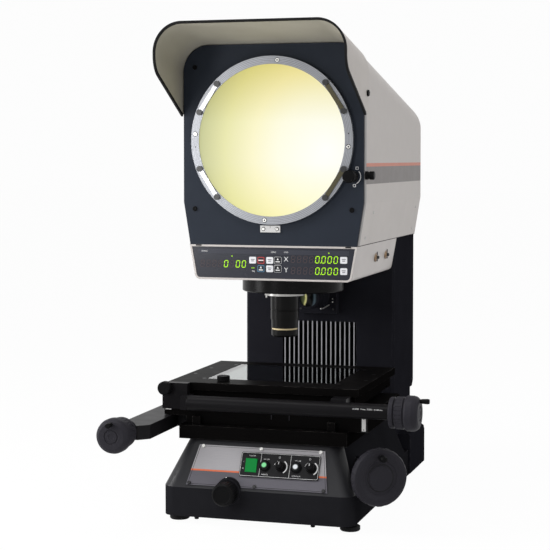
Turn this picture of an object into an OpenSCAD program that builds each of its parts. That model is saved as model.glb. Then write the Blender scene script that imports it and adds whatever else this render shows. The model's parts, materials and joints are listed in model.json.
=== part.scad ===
// Bench profile projector, an optical comparator: a screen head with a sloping roof and a hood,
// a lens turret, a glass stage on three slides with handwheels, and a cast base with the controls.
// The layout frame has the optical axis at x = 0, y = 0 and the bench at z = 0, with the front at -y.

/* [Screen] */
// Height of the screen centre above the head's lower edge
screen_rise = 212; // [205:1:225]
// Visible diameter of the ground glass
screen_d = 306; // [290:1:310]
// Width of the ring round the glass
ring_w = 16.5; // [14:0.5:18]
// How far the ring stands in front of the panel
ring_proud = 10; // [8:0.5:14]
// Thickness of the ground glass
glass_t = 4.5; // [3:0.5:5]
// Distance between the two ends of a chart clip
clip_len = 68; // [50:1:75]
// Angle of the clips above and below the horizontal
clip_angle = 33; // [28:1:45]
// Radius of the roller that turns the ring
roller_r = 12; // [10:0.5:14]

/* [Head] */
// Width of the head beside the ring
side_margin = 21; // [18:0.5:30]
// How far each side of the head tapers in at its lower edge
taper_in = 14; // [6:0.5:18]
// Distance from the optical axis to the front panel
screen_reach = 90; // [80:1:110]
// Depth of the head from the front panel to the back
head_depth = 560; // [550:1:600]
// Height of the roof above the ring at the front panel
roof_margin = 25.5; // [20:0.5:43]
// Height of the head's lower edge
head_bottom_z = 550; // [545:1:560]
// Height of the tapered lower part
taper_rise = 87; // [70:1:110]
// Slope of the roof in degrees
roof_slope = 10.75; // [8:0.25:12]
// Corner radius along the roof
roof_r = 55; // [40:1:65]
// Corner radius between roof and back
back_r = 60; // [40:1:70]
// Thickness of the sheet covers
sheet_t = 3; // [2:0.5:4]
// Thickness of the black front panel
panel_t = 4; // [3:0.5:6]
// Depth of the cast frame behind the front panel
frame_t = 13; // [11:0.5:16]

/* [Hood] */
// How far the hood reaches in front of the panel
hood_reach = 161; // [120:1:180]
// How far the hood's lower tips lie below the roof
hood_drop = 147; // [130:1:160]
// Slope of the hood's lower edges in degrees
hood_slant = 28.6; // [25:0.2:32]
// Radius between the lower and the front edge
hood_front_r = 45; // [30:1:55]
// Width of the rubber edging
edging_w = 5; // [4:0.5:7]

/* [Counter] */
// Height of the counter housing
counter_h = 71; // [65:1:80]
// How far each side of the counter leans in
counter_in = 12.5; // [8:0.5:16]
// Radius of its lower corners
counter_r = 12; // [8:1:16]
// Width of the pale border round the display
display_border = 4; // [3:0.5:6]

/* [Lens] */
// Radius of the lens turret
turret_r = 107; // [105:1:112]
// Thickness of the turret
turret_t = 31; // [28:1:36]
// Distance from the optical axis to the turret's pivot
turret_offset = 63; // [60:1:66]
// Diameter of the lens flange
flange_d = 83; // [76:1:88]
// Diameter of the upper barrel
barrel_d = 58; // [54:1:62]
// Diameter of the lower barrel
nose_d = 55; // [50:1:57]
// Length of the upper barrel below the flange
barrel_len = 50; // [44:1:56]
// Length of the lower barrel
nose_len = 35.5; // [30:0.5:40]

/* [Column] */
// Distance from the head's lower side in to the column's side
column_in = 4.5; // [2:0.5:8]
// Distance from the optical axis to the column's front
column_front = 275; // [268:1:290]
// Depth of the column casting
column_depth = 172; // [160:1:190]
// Depth of the rear cover
rear_cover_t = 34; // [28:1:40]
// Height of the rear cover's lower edge
rear_cover_z = 195; // [180:1:220]
// Number of ribs in the vent grille
rib_count = 16; // [12:1:18]
// Distance between ribs
rib_pitch = 10.7; // [9:0.1:11]
// Height of the grille's upper edge
grille_top = 360; // [340:1:370]
// Height of the grille's lower edge
grille_bottom = 200; // [180:1:230]
// Height of the surface illuminator's axis
illuminator_z = 421; // [415:1:430]
// Diameter of the surface illuminator's tube
illuminator_d = 50; // [44:1:56]

/* [Stage] */
// Thickness of the stage plate with its lower part
stage_t = 39; // [36:1:44]
// Width of the stage plate
stage_w = 394; // [385:1:405]
// Distance from the optical axis to the stage's front edge
stage_front = 163; // [160:1:168]
// Distance from the optical axis to the stage's rear edge
stage_back = 168; // [164:1:175]
// Width of the stage glass
stage_glass_w = 268; // [250:1:280]
// Distance from the optical axis to the glass's front edge
stage_glass_front = 102; // [96:1:106]
// Distance from the optical axis to the glass's rear edge
stage_glass_back = 124; // [115:1:130]
// Thickness of the stage glass
stage_glass_t = 6; // [5:0.5:7]
// Travel of the stage to either side
x_travel = 50; // [25:1:55]
// Travel of the stage to the front and to the back
y_travel = 25; // [15:1:30]
// Travel of the stage upwards
z_travel = 60; // [30:1:70]

/* [Feeds] */
// Diameter of the feed tube in front of the stage
tube_d = 30; // [26:1:34]
// Right end of the feed tube
tube_end = 268; // [255:1:285]
// Largest radius of the two stage handwheels
wheel_r = 34; // [30:1:36]
// Length of a stage handwheel
wheel_len = 57; // [50:1:64]
// Distance from the stage's side out to the Y handwheel's axis
y_wheel_out = 39; // [33:1:48]
// Height of the Y handwheel's axis above the lift table
y_wheel_rise = 7; // [4:0.5:10]
// Distance from the optical axis to the front of the feed arm
arm_reach = 285; // [270:1:300]
// Radius of the lifting handwheel
lift_wheel_r = 57; // [50:1:60]
// Thickness of the lifting handwheel
lift_wheel_t = 24; // [20:1:28]
// Height of the lifting handwheel's axis
lift_wheel_z = 110; // [106:1:114]

/* [Base] */
// Width of the base
base_w = 392; // [386:1:400]
// Distance from the optical axis to the base's front
base_front = 204; // [198:1:212]
// Distance from the optical axis to the base's back
base_back = 475; // [470:1:490]
// Height of the base's lower edge above the bench
base_lift = 15; // [14:1:20]
// Height of the plinth's upper edge above the bench
plinth_top = 72; // [70:1:76]
// Height of the base's upper face above the bench
base_top = 162; // [158:1:162]
// Width of the base's upper face
neck_w = 318; // [300:1:330]
// Distance from the optical axis to the upper face's front edge
neck_front = 154; // [148:1:160]
// Corner radius of the base
base_r = 26; // [18:1:30]
// Wall thickness of the castings
cast_t = 8; // [6:0.5:10]
// Diameter of a foot
foot_d = 40; // [34:1:44]

/* [Controls] */
// Width of the switch panel
switch_panel_w = 162; // [158:1:170]
// Height of the switch panel along the slope
switch_panel_h = 50; // [46:1:54]
// Width of the power rocker
rocker_w = 23; // [20:1:25]
// Height of the power rocker
rocker_h = 28; // [24:1:30]
// Diameter of a light button
button_d = 16; // [14:0.5:18]
// Travel of a light button
button_travel = 2.5; // [1.5:0.1:3]
// Diameter of a dimmer knob
dimmer_d = 19; // [16:0.5:21]
// Diameter of the iris knob at the base's front
iris_knob_d = 46; // [40:1:50]

/* [Hidden] */
$fn = 96;
e = 1;                    // overlap of cutting bodies
run = 0.05;               // radial clearance of a running fit
free = 0.3;               // clearance between moving faces
seat = 0.1;               // clearance of a seated piece

// Head, from front to back and upwards
screen_z = head_bottom_z + screen_rise;
ring_r = screen_d / 2 + ring_w;
head_top_z = screen_z + ring_r + roof_margin;
taper_z = head_bottom_z + taper_rise;
head_half = ring_r + side_margin;
head_w = 2 * head_half;
low_half = head_half - taper_in;
panel_y = -screen_reach;
frame_y = panel_y + panel_t;
cover_y = frame_y + frame_t;
back_y = panel_y + head_depth;
roof_run = head_depth + hood_reach + 100;
roof_drop = head_top_z - head_bottom_z + 150;
panel_inset = 1.5;
floor_t = 10;

// Screen
ring_face_y = panel_y - ring_proud;
ring_back_y = panel_y - 1;
lip_t = 2;
sleeve_in = screen_d / 2 + 3;
sleeve_r = sleeve_in + 4;
retainer_t = 4;
clip_path_r = screen_d / 2 + ring_w / 2;
clip_half = asin(clip_len / 2 / clip_path_r);
clip_pin_r = 2;
clip_w = 9;
clip_t = 2.2;
clip_end_r = 6;
CLIP_ANGLES = [clip_angle, 180 - clip_angle, 180 + clip_angle, -clip_angle];
knob_axis_r = ring_r + roller_r + free;
knob_axis_angle = -23.3;
knob_x = knob_axis_r * cos(knob_axis_angle);
knob_z = screen_z + knob_axis_r * sin(knob_axis_angle);
clamp_z = screen_z - 70;
clamp_y = (frame_y + cover_y) / 2;
clamp_r = 8.5;
clamp_len = 18;

// Hood
hood_gap = 0.2;
hood_rear_y = cover_y + 6;
hood_tip_y = panel_y + 2;
hood_front_y = panel_y - hood_reach;
hood_tip_z = head_top_z - hood_drop;
hood_screw_r = 3;
HOOD_SCREW_Y = (frame_y + cover_y) / 2;
HOOD_SCREW_Z = hood_tip_z + 45;
slant_in = [sin(hood_slant), cos(hood_slant)];
slant_dir = [-cos(hood_slant), sin(hood_slant)];
edging_proud = 0.6;

// Counter housing and turret
counter_z = head_bottom_z - counter_h;
counter_half = low_half - counter_in;
counter_lean = atan((low_half - counter_half) / counter_h);
counter_t = 4;
display_t = 3;
display_recess = 1;
light_r = 45;
turret_top = counter_z - free;
turret_bottom = turret_top - turret_t;
pivot_r = 10;
pivot_len = 26;
socket_r = barrel_d / 2 + 1;
flange_t = 5;
barrel_bottom = turret_bottom - flange_t - barrel_len;
lens_tip = barrel_bottom - nose_len;
lens_bore_r = 22;

// Column
column_half = low_half - column_in;
column_w = 2 * column_half;
column_back = column_front + column_depth;
rear_cover_y = column_back + rear_cover_t;
grille_half = rib_pitch * rib_count / 2;
rib_w = 4;
bar_t = 3;
illuminator_front = column_front - 94;
illuminator_half = 45;
block_t = 20;
block_half = 41;
inlet_in = 82;
inlet_rise = 40;
INLET_SIZE = [48, 8, 30];
INLET_RIM = [10, 0, 5];

// Stage stack, from the base upwards
table_z = base_top + 1;
table_t = 27;
carriage_z = table_z + table_t;
carriage_t = 35;
carriage_top = carriage_z + carriage_t;
xplate_z = carriage_top + 13;
stage_z = xplate_z + stage_t;
xtop_t = 15;
rail_w = 16;
rail_h = 18;
table_in = 23;
table_half = stage_w / 2 - table_in;
x_rail_y = 125;
carriage_reach = x_rail_y + 20;
table_back = carriage_reach + y_travel;
carriage_half = stage_w / 2 + 18 - x_travel;
scale_end = stage_w / 2 + 15;
y_rail_x = 140;
rail_top = carriage_top + 19;
post_r = 55;
post_in = 42;
post_bottom = base_top - z_travel - 27;
guide_wall = 10;
window_half = 115;
window_front = 95;
window_back = 110;

// Feeds
tube_r = tube_d / 2;
tube_y = -stage_front - 32;
tube_z = xplate_z + 3;
tube_start = -stage_w / 2 + 54;
shaft_r = 6;
shaft_len = 60;
crank_radius = 24;
crank_pin_r = 3;
crank_len = 18;
y_wheel_x = stage_w / 2 + y_wheel_out;
y_wheel_z = carriage_z + y_wheel_rise;
arm_inner = table_half + 22;
arm_outer = y_wheel_x + 24;
arm_bottom = carriage_z - 12;
arm_top = y_wheel_z + 9;
collar_len = 25;
Y_WHEEL = [-y_wheel_x, -arm_reach - collar_len - free, y_wheel_z];
X_WHEEL = [tube_end + free, tube_y, tube_z];
THUMB_SCREW = [-93, -stage_front + 40, stage_z];
LOCK_KNOB = [-stage_w / 2 + 2, -stage_front - 17, stage_z - 10];
lock_knob_r = 13.5;
lug_x = stage_w / 2 - 47;
lug_w = 30;
lift_turn = 36;
lift_dir = [sin(lift_turn), -cos(lift_turn), 0];
gear_pos = [130, -20, lift_wheel_z];
gear_near = 12;
gear_far = 24;
gear_gap = 0.35;
screw_r = 7;
lift_shaft_r = 8;
lift_boss_r = 20;
lift_boss_near = 45;
lift_boss_far = 165;
lift_wheel_at = 175.4;
lift_crank_radius = 39;
lift_crank_pin_r = 4;

// Base
base_half = base_w / 2;
neck_half = neck_w / 2;
neck_lip = 1;
slope_run = base_front - neck_front;
slope_rise = base_top - plinth_top - neck_lip;
slope_angle = atan2(slope_rise, slope_run);
foot_in = 22;
foot_right_in = 16;
foot_rear_in = 46;
foot_front_y = -base_front + 45;
foot_rear_y = base_back - 45;
FEET = [[-base_half + foot_in, foot_front_y], [base_half - foot_right_in, foot_front_y],
    [-base_half + foot_rear_in, foot_rear_y], [base_half - foot_rear_in, foot_rear_y]];
lug_r = 15;
lug_top = 50;
bottom_t = 4;
bottom_top = base_lift + bottom_t;
stem_r = 8;
pad_t = 10;
iris_x = -56;
iris_z = 70;
iris_y = -base_front - 6;
iris_knob_len = 32;
lamp_z = 46;
lamp_cover_out = 5;
condenser_r = 20;

// Controls, measured along the slope from its lower edge
panel_low = 6;
panel_high = 90;
panel_low_half = base_half - 51;
panel_high_half = neck_half - 29;
panel_sheet = 2;
switch_t = 3;
switch_x = 43;
switch_s = 54;
control_s = 52;
rocker_x = -15;
BUTTON_X = [13, 77];
DIMMER_X = [45, 107];
dimmer_shaft_r = 3;
dimmer_h = 15;
switch_face = panel_sheet + switch_t;

// Mirrors in the head, on the light path lens, first mirror, main mirror, screen
first_z = head_bottom_z + 75;
main_y = back_y - 70;
light_rise = atan2(screen_z - first_z, main_y);
first_tilt = 90 - (90 - light_rise) / 2;
main_tilt = light_rise / 2;
first_half = 55;
main_half = 95;
mirror_t = 6;
first_wide = 2 * light_r;
main_wide = screen_d - 66;
cheek_t = 12;

// Extent of the whole instrument, which centres the frame on the bench
left_x = -y_wheel_x - wheel_r;
right_x = tube_end + free + wheel_len + crank_len;
front_y = Y_WHEEL.y - wheel_len - crank_len;
center = [(left_x + right_x) / 2, (front_y + rear_cover_y) / 2, 0];

// Basic forms
module along_x(len) { rotate([90, 0, 90]) linear_extrude(len) children(); }
module along_y(len) { translate([0, len, 0]) rotate([90, 0, 0]) linear_extrude(len) children(); }
module rod_x(r, len) { rotate([0, 90, 0]) cylinder(r = r, h = len); }
module rod_y(r, len) { rotate([-90, 0, 0]) cylinder(r = r, h = len); }
module block(low, high) { translate(low) cube(high - low); }
module facing(pos, turn) { translate(pos) rotate([90, 0, turn]) children(); }
module on_slope() {
    translate([0, -base_front, plinth_top + neck_lip]) rotate([slope_angle, 0, 0]) children();
}
module at_screen(r, a, y) { translate([r * cos(a), y, screen_z + r * sin(a)]) children(); }

// Rectangle with equal round corners, given by its lower and upper corner
module round_rect(low, high, r) {
    translate([low.x + r, low.y]) square([high.x - low.x - 2 * r, high.y - low.y]);
    translate([low.x, low.y + r]) square([high.x - low.x, high.y - low.y - 2 * r]);
    for (x = [low.x + r, high.x - r], y = [low.y + r, high.y - r]) translate([x, y]) circle(r);
}

// What rounding takes off a corner: the wedge between two directions, outside the round
module corner_waste(center, r, from, to) {
    mid = (from + to) / 2;
    difference() {
        polygon([center, center + 2 * r * [cos(from), sin(from)], center + 4 * r * [cos(mid), sin(mid)],
            center + 2 * r * [cos(to), sin(to)]]);
        translate(center) circle(r);
    }
}

// Section of the head across its roof, with the roof line at height 0
module roof_section(inset) {
    half = head_half - inset;
    r = max(roof_r - inset, 1);
    translate([-half, -roof_drop]) square([2 * half, roof_drop - inset - r]);
    translate([r - half, -roof_drop]) square([2 * (half - r), roof_drop - inset]);
    for (x = [r - half, half - r]) translate([x, -inset - r]) circle(r);
}
module roof_prism(inset) {
    translate([0, panel_y, head_top_z]) rotate([-roof_slope, 0, 0])
        translate([0, -roof_run / 2, 0]) along_y(1.5 * roof_run) roof_section(inset);
}
// Front view of the head below the roof, with its tapered lower part
module front_view(inset, low_z) {
    half = head_half - inset;
    low = low_half - inset;
    polygon([[-half, head_top_z + e], [half, head_top_z + e], [half, taper_z], [low, head_bottom_z],
        [low, low_z], [-low, low_z], [-low, head_bottom_z], [-half, taper_z]]);
}
module head_slab(inset, y0, y1, low_z) {
    intersection() {
        roof_prism(inset);
        translate([0, y0, 0]) along_y(y1 - y0) front_view(inset, low_z);
    }
}
// Side view of the cover, with the round corner between roof and back
module cover_side(inset, low_z) {
    center_y = back_y - back_r;
    center_z = head_top_z - tan(roof_slope) * (center_y - panel_y) - back_r / cos(roof_slope);
    roof_z = head_top_z + 2 * e;
    difference() {
        polygon([[cover_y - e, low_z], [back_y - inset, low_z], [back_y - inset, roof_z],
            [cover_y - e, roof_z]]);
        corner_waste([center_y, center_z], back_r - inset, 0, 90 - roof_slope);
    }
}
module cover_solid(inset, low_z) {
    intersection() {
        head_slab(inset, cover_y - (inset > 0 ? e : 0), back_y, low_z);
        translate([-head_w / 2 - e, 0, 0]) along_x(head_w + 2 * e) cover_side(inset, low_z);
    }
}

// Side view of the hood, cut back along its free edges
module hood_side(cut) {
    center_y = hood_front_y + hood_front_r;
    tip = [hood_tip_y, hood_tip_z];
    reach = (center_y - tip.x - hood_front_r * slant_in.x) / slant_dir.x;
    center_z = tip.y + hood_front_r * slant_in.y + reach * slant_dir.y;
    low_z = hood_tip_z + cut / cos(hood_slant);
    top_z = head_top_z + hood_reach;
    front_y = hood_front_y + cut;
    difference() {
        polygon([[hood_rear_y, top_z], [hood_rear_y, low_z], [tip.x, low_z],
            [front_y, low_z + (tip.x - front_y) * tan(hood_slant)], [front_y, top_z]]);
        corner_waste([center_y, center_z], hood_front_r - cut, 180, 270 - hood_slant);
    }
}
module hood_shell(proud) {
    difference() {
        roof_prism(-hood_gap - sheet_t - proud);
        roof_prism(proud - hood_gap);
    }
}
module hood() {
    color("gainsboro") difference() {
        intersection() {
            hood_shell(0);
            translate([-head_w, 0, 0]) along_x(2 * head_w) hood_side(edging_w);
        }
        for (x = [-head_half - 20, head_half - 20]) translate([x, HOOD_SCREW_Y, HOOD_SCREW_Z])
            rod_x(hood_screw_r + seat, 40);
    }
}
module hood_edging() {
    color("black") intersection() {
        hood_shell(edging_proud);
        translate([-head_w, 0, 0]) along_x(2 * head_w) difference() {
            hood_side(0);
            hood_side(edging_w);
            translate([panel_y - 0.5, 0]) square([head_depth, 2 * head_top_z]);
        }
    }
}
module hood_screws() {
    face = head_half + hood_gap + sheet_t;
    color("black") for (side = [0, 1]) mirror([side, 0, 0])
        translate([face, HOOD_SCREW_Y, HOOD_SCREW_Z]) rotate([0, 90, 0]) {
            translate([0, 0, -sheet_t - 10]) cylinder(r = hood_screw_r, h = sheet_t + 10);
            rotate_extrude() polygon([[0, 0], [6.5, 0], [6.5, 2.5], [5.5, 4], [2, 4], [2, 3], [0, 3]]);
        }
}

// Head
module head_cover() {
    color("gainsboro") difference() {
        cover_solid(0, head_bottom_z);
        cover_solid(sheet_t, head_bottom_z - e);
    }
}
module front_frame() {
    color("dimgray") difference() {
        union() {
            head_slab(0, frame_y, cover_y, head_bottom_z);
            for (side = [0, 1]) mirror([side, 0, 0])
                translate([head_half - e, HOOD_SCREW_Y, HOOD_SCREW_Z]) rod_x(6, hood_gap + e);
        }
        translate([0, frame_y - e, screen_z]) rod_y(sleeve_r + run, frame_t + 2 * e);
        translate([knob_x, frame_y - e, knob_z]) rod_y(4 + run, frame_t + 2 * e);
        translate([head_half - 15, clamp_y, clamp_z]) rod_x(3 + run, 20);
        for (side = [0, 1]) mirror([side, 0, 0])
            translate([head_half - 12, HOOD_SCREW_Y, HOOD_SCREW_Z]) rod_x(hood_screw_r + seat, 20);
    }
}
module front_panel() {
    color([0.13, 0.15, 0.18]) difference() {
        head_slab(panel_inset, panel_y, frame_y, head_bottom_z);
        translate([0, panel_y - e, screen_z]) rod_y(sleeve_r + e, panel_t + 2 * e);
        translate([knob_x, panel_y - e, knob_z]) rod_y(5, panel_t + 2 * e);
    }
}
// Side cheeks that hold a mirror from behind, as a side view in y and z
module first_cheek() {
    back = [-mirror_t * sin(first_tilt), mirror_t * cos(first_tilt)];
    along = [cos(first_tilt), sin(first_tilt)] * first_half;
    low = [0, first_z] - along + back;
    high = [0, first_z] + along + back;
    polygon([low, high, high - [16, 0], [low.x - 30, head_bottom_z + floor_t],
        [low.x, head_bottom_z + floor_t]]);
}
module main_cheek() {
    back = [mirror_t * cos(main_tilt), mirror_t * sin(main_tilt)];
    along = [-sin(main_tilt), cos(main_tilt)] * main_half;
    low = [main_y, screen_z] - along + back;
    high = [main_y, screen_z] + along + back;
    foot_z = head_bottom_z + floor_t;
    polygon([low, high, high + [14, -10], [back_y - sheet_t - 10, foot_z], [low.x, foot_z]]);
}
module head_casting() {
    side = low_half - sheet_t - 1;
    color("darkgray") {
        difference() {
            block([-side, cover_y, head_bottom_z], [side, back_y - sheet_t - 1, head_bottom_z + floor_t]);
            translate([0, 0, head_bottom_z - e]) cylinder(r = light_r, h = floor_t + 2 * e);
        }
        for (x = [1 - first_wide / 2, first_wide / 2 - cheek_t - 1]) translate([x, 0, 0])
            along_x(cheek_t) first_cheek();
        for (x = [10 - main_wide / 2, main_wide / 2 - cheek_t - 10]) translate([x, 0, 0])
            along_x(cheek_t) main_cheek();
    }
}
module first_mirror() {
    color("lightblue") translate([0, 0, first_z]) rotate([first_tilt - 90, 0, 0])
        block([-first_wide / 2, -mirror_t, -first_half], [first_wide / 2, 0, first_half]);
}
module main_mirror() {
    color("lightblue") translate([0, main_y, screen_z]) rotate([main_tilt, 0, 0])
        block([-main_wide / 2, 0, -main_half], [main_wide / 2, mirror_t, main_half]);
}

// Screen
module screen_ring() {
    color("silver") difference() {
        union() {
            translate([0, ring_face_y, screen_z]) rod_y(ring_r, ring_back_y - ring_face_y);
            translate([0, ring_back_y - e, screen_z]) rod_y(sleeve_r, cover_y + free - ring_back_y + e);
        }
        translate([0, ring_face_y - e, screen_z]) rod_y(screen_d / 2, lip_t + 2 * e);
        translate([0, ring_face_y + lip_t, screen_z]) rod_y(sleeve_in, head_depth);
        for (a = CLIP_ANGLES) at_screen(clip_path_r, a + clip_half, ring_face_y - e)
            rod_y(clip_pin_r + run, 8.5);
    }
}
module screen_glass() {
    color([0.95, 0.95, 0.7]) translate([0, ring_face_y + lip_t, screen_z]) rod_y(sleeve_in - seat, glass_t);
}
module screen_retainer() {
    color("dimgray") translate([0, cover_y + free, screen_z]) difference() {
        rod_y(sleeve_r + 6, retainer_t);
        translate([0, -e, 0]) rod_y(sleeve_in - 5, retainer_t + 2 * e);
    }
}
module chart_clip(a) {
    rear_y = ring_face_y - free;
    turn = a + 90;
    color("darkslategray") union() {
        at_screen(clip_path_r * cos(clip_half), a, rear_y - clip_t) rotate([0, -turn, 0])
            block([-clip_len / 2, 0, -clip_w / 2], [clip_len / 2, clip_t, clip_w / 2]);
        for (s = [-1, 1]) at_screen(clip_path_r, a + s * clip_half, rear_y - clip_t - 2.5)
            rod_y(clip_end_r, clip_t + 2);
        at_screen(clip_path_r, a + clip_half, rear_y - clip_t / 2) rod_y(clip_pin_r, clip_t / 2 + 7);
    }
}
module fine_turn_knob() {
    color([0.15, 0.15, 0.16]) translate([knob_x, 0, knob_z]) {
        translate([0, ring_back_y - e, 0]) rod_y(4, cover_y - ring_back_y);
        translate([0, ring_face_y, 0]) rod_y(roller_r, ring_back_y - ring_face_y);
        translate([0, ring_face_y - 4, 0]) rod_y(8, 5);
        difference() {
            translate([0, ring_face_y - 28, 0]) rotate([-90, 0, 0]) rotate_extrude()
                polygon([[0, 0], [roller_r - 1, 0], [roller_r + 0.5, 1.5], [roller_r + 0.5, 23.5],
                    [roller_r - 1, 25], [0, 25]]);
            for (k = [0 : 17]) rotate([0, 20 * k, 0])
                translate([roller_r + 1.3, ring_face_y - 26, 0]) rod_y(1.4, 21);
        }
    }
}
module screen_clamp_knob() {
    color([0.15, 0.15, 0.16]) translate([head_half + free, clamp_y, clamp_z]) {
        translate([-14, 0, 0]) rod_x(3, 15);
        rotate([0, 90, 0]) rotate_extrude() polygon([[0, 0], [clamp_r, 0], [clamp_r, 5], [clamp_r - 1.5, 6],
            [clamp_r - 1.5, 8], [clamp_r, 9], [clamp_r, clamp_len - 1.5], [clamp_r - 1.5, clamp_len],
            [0, clamp_len]]);
    }
}

// Counter
module counter_view(inset) {
    r = max(counter_r - inset, 1);
    half = counter_half - inset / cos(counter_lean);
    low_z = counter_z + inset;
    edge_x = half + (low_half - counter_half) * (inset + r) / counter_h;
    center_x = edge_x - r / cos(counter_lean);
    top_x = low_half - inset / cos(counter_lean) - inset * tan(counter_lean);
    foot_x = edge_x - r * tan(counter_lean);
    top_z = head_bottom_z - inset;
    difference() {
        polygon([[-top_x, top_z], [top_x, top_z], [foot_x, low_z], [-foot_x, low_z]]);
        corner_waste([center_x, low_z + r], r, -90, -counter_lean);
        corner_waste([-center_x, low_z + r], r, 180 + counter_lean, 270);
    }
}
module counter_housing() {
    depth = column_front - panel_y;
    display_depth = display_recess + display_t;
    color("gainsboro") difference() {
        union() {
            difference() {
                translate([0, panel_y, 0]) along_y(depth) counter_view(0);
                translate([0, panel_y - e, 0]) along_y(display_depth + e) counter_view(display_border);
                translate([0, panel_y, 0]) along_y(depth - counter_t) counter_view(display_border + 3);
            }
            translate([0, turret_offset, counter_z + counter_t]) cylinder(r = 2 * pivot_r, h = pivot_len);
        }
        translate([0, 0, counter_z - e]) cylinder(r = light_r, h = counter_h + 2 * e);
        translate([0, turret_offset, counter_z - e]) cylinder(r = pivot_r + run, h = pivot_len + 2 * e);
    }
}
module display_panel() {
    color([0.16, 0.17, 0.2]) translate([0, panel_y + display_recess, 0])
        along_y(display_t) counter_view(display_border + seat);
}

// Lens and turret
module lens_turret() {
    color([0.12, 0.12, 0.13]) difference() {
        union() {
            translate([0, turret_offset, turret_bottom]) rotate_extrude()
                polygon([[0, 0], [turret_r - 2, 0], [turret_r, 2], [turret_r, turret_t], [0, turret_t]]);
            translate([0, turret_offset, turret_top - e]) cylinder(r = pivot_r, h = pivot_len - 2 + e);
        }
        translate([0, 0, turret_bottom - e]) cylinder(r = socket_r + seat, h = turret_t + 2 * e);
        for (a = [30, 150]) translate([0, turret_offset, turret_bottom - e]) rotate([0, 0, a])
            translate([turret_offset, 0, 0]) cylinder(r = socket_r, h = turret_t / 2 + e);
    }
}
module lens_barrel() {
    nose_r = nose_d / 2;
    barrel_r = barrel_d / 2;
    flange_r = flange_d / 2;
    color([0.1, 0.1, 0.11]) translate([0, 0, lens_tip]) rotate_extrude()
        polygon([[lens_bore_r, 0], [nose_r - 3, 0], [nose_r, 3], [nose_r, 14], [nose_r - 0.8, 14.4],
            [nose_r - 0.8, 17.6], [nose_r, 18], [nose_r, nose_len], [barrel_r, nose_len],
            [barrel_r, nose_len + 18], [barrel_r - 0.8, nose_len + 18.6], [barrel_r - 0.8, nose_len + 20.4],
            [barrel_r, nose_len + 21], [barrel_r, nose_len + barrel_len],
            [flange_r, nose_len + barrel_len], [flange_r, nose_len + barrel_len + flange_t],
            [socket_r, nose_len + barrel_len + flange_t],
            [socket_r, nose_len + barrel_len + flange_t + turret_t - 6],
            [lens_bore_r, nose_len + barrel_len + flange_t + turret_t - 6],
            [lens_bore_r, 12], [lens_bore_r + 1.5, 12], [lens_bore_r + 1.5, 4], [lens_bore_r, 4]]);
}
module lens_glass() {
    color([0.55, 0.65, 0.75]) translate([0, 0, lens_tip + 4]) rotate_extrude()
        polygon([[0, 0.5], [lens_bore_r - 1, 0.5], [lens_bore_r - 1, 0], [lens_bore_r + 1.5 - seat, 0],
            [lens_bore_r + 1.5 - seat, 6], [lens_bore_r - 2, 7], [0, 7.6]]);
}

// Column
module column_view() {
    chamfer = 5;
    polygon([[-column_half + chamfer, column_front], [column_half - chamfer, column_front],
        [column_half, column_front + chamfer], [column_half, column_back], [-column_half, column_back],
        [-column_half, column_front + chamfer]]);
}
module column_casting() {
    inner = column_half - cast_t;
    color([0.13, 0.13, 0.14]) difference() {
        translate([0, 0, plinth_top]) linear_extrude(head_bottom_z - plinth_top) column_view();
        block([-inner, column_front + cast_t, plinth_top - e],
            [inner, column_back - cast_t, head_bottom_z - cast_t]);
        block([-inner, column_front + cast_t, rear_cover_z + 20],
            [inner, column_back + e, head_bottom_z - cast_t]);
        block([-grille_half, column_front - e, grille_bottom],
            [grille_half, column_front + cast_t + e, grille_top]);
    }
}
module rear_cover_view(inset) {
    low = rear_cover_z + inset;
    y1 = rear_cover_y - inset;
    polygon([[column_back - (inset > 0 ? e : 0), low], [y1 - 12, low], [y1, low + 12],
        [y1, head_bottom_z - inset], [column_back - (inset > 0 ? e : 0), head_bottom_z - inset]]);
}
module column_rear_cover() {
    color([0.13, 0.13, 0.14]) difference() {
        translate([-column_half, 0, 0]) along_x(column_w) rear_cover_view(0);
        translate([-column_half + sheet_t, 0, 0]) along_x(column_w - 2 * sheet_t) rear_cover_view(sheet_t);
    }
}
module vent_grille() {
    inner_y = column_front + cast_t;
    color("darkgray") {
        for (k = [0 : rib_count - 1]) {
            x = (k + 0.5) * rib_pitch - grille_half;
            block([x - rib_w / 2, column_front, grille_bottom], [x + rib_w / 2, inner_y + bar_t, grille_top]);
        }
        for (z = [grille_bottom - 8, grille_top])
            block([-grille_half - 8, inner_y, z], [grille_half + 8, inner_y + bar_t, z + 8]);
        for (z = [grille_bottom, grille_top - 8])
            block([-grille_half, inner_y, z - 0.5], [grille_half, inner_y + bar_t, z + 8.5]);
    }
}
module mains_inlet() {
    low = [-column_half + inlet_in, column_back, plinth_top + inlet_rise];
    color([0.08, 0.08, 0.08]) difference() {
        block(low, low + INLET_SIZE);
        block(low + INLET_RIM + [0, 2, 0], low + INLET_SIZE - INLET_RIM + [0, e, 0]);
    }
}
module illuminator_housing() {
    r = illuminator_d / 2;
    z = illuminator_z;
    color([0.1, 0.1, 0.11]) difference() {
        union() {
            block([-illuminator_half, column_front - block_t, z - block_half],
                [illuminator_half, column_front, z + block_half]);
            translate([0, illuminator_front, z]) rotate([-90, 0, 0]) rotate_extrude()
                polygon([[0, 0], [r - 1, 0], [r, 1], [r, 12], [r - 1.5, 13], [r - 1.5, 30], [r + 3, 32],
                    [r + 3, column_front - illuminator_front - block_t], [0, column_front - illuminator_front - block_t]]);
        }
        translate([0, illuminator_front - e, z]) rod_y(r - 5, 3 + 2 * e);
        translate([0, illuminator_front + 3, z]) rod_y(r - 4, 60);
    }
}
module illuminator_lens() {
    r = illuminator_d / 2 - 4 - seat;
    color([0.6, 0.7, 0.8]) translate([0, illuminator_front + 3, illuminator_z]) rotate([-90, 0, 0])
        rotate_extrude() polygon([[0, -1.8], [r / 2, -1.2], [r - 1.5, 0], [r, 0], [r, 6], [0, 6]]);
}

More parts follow.
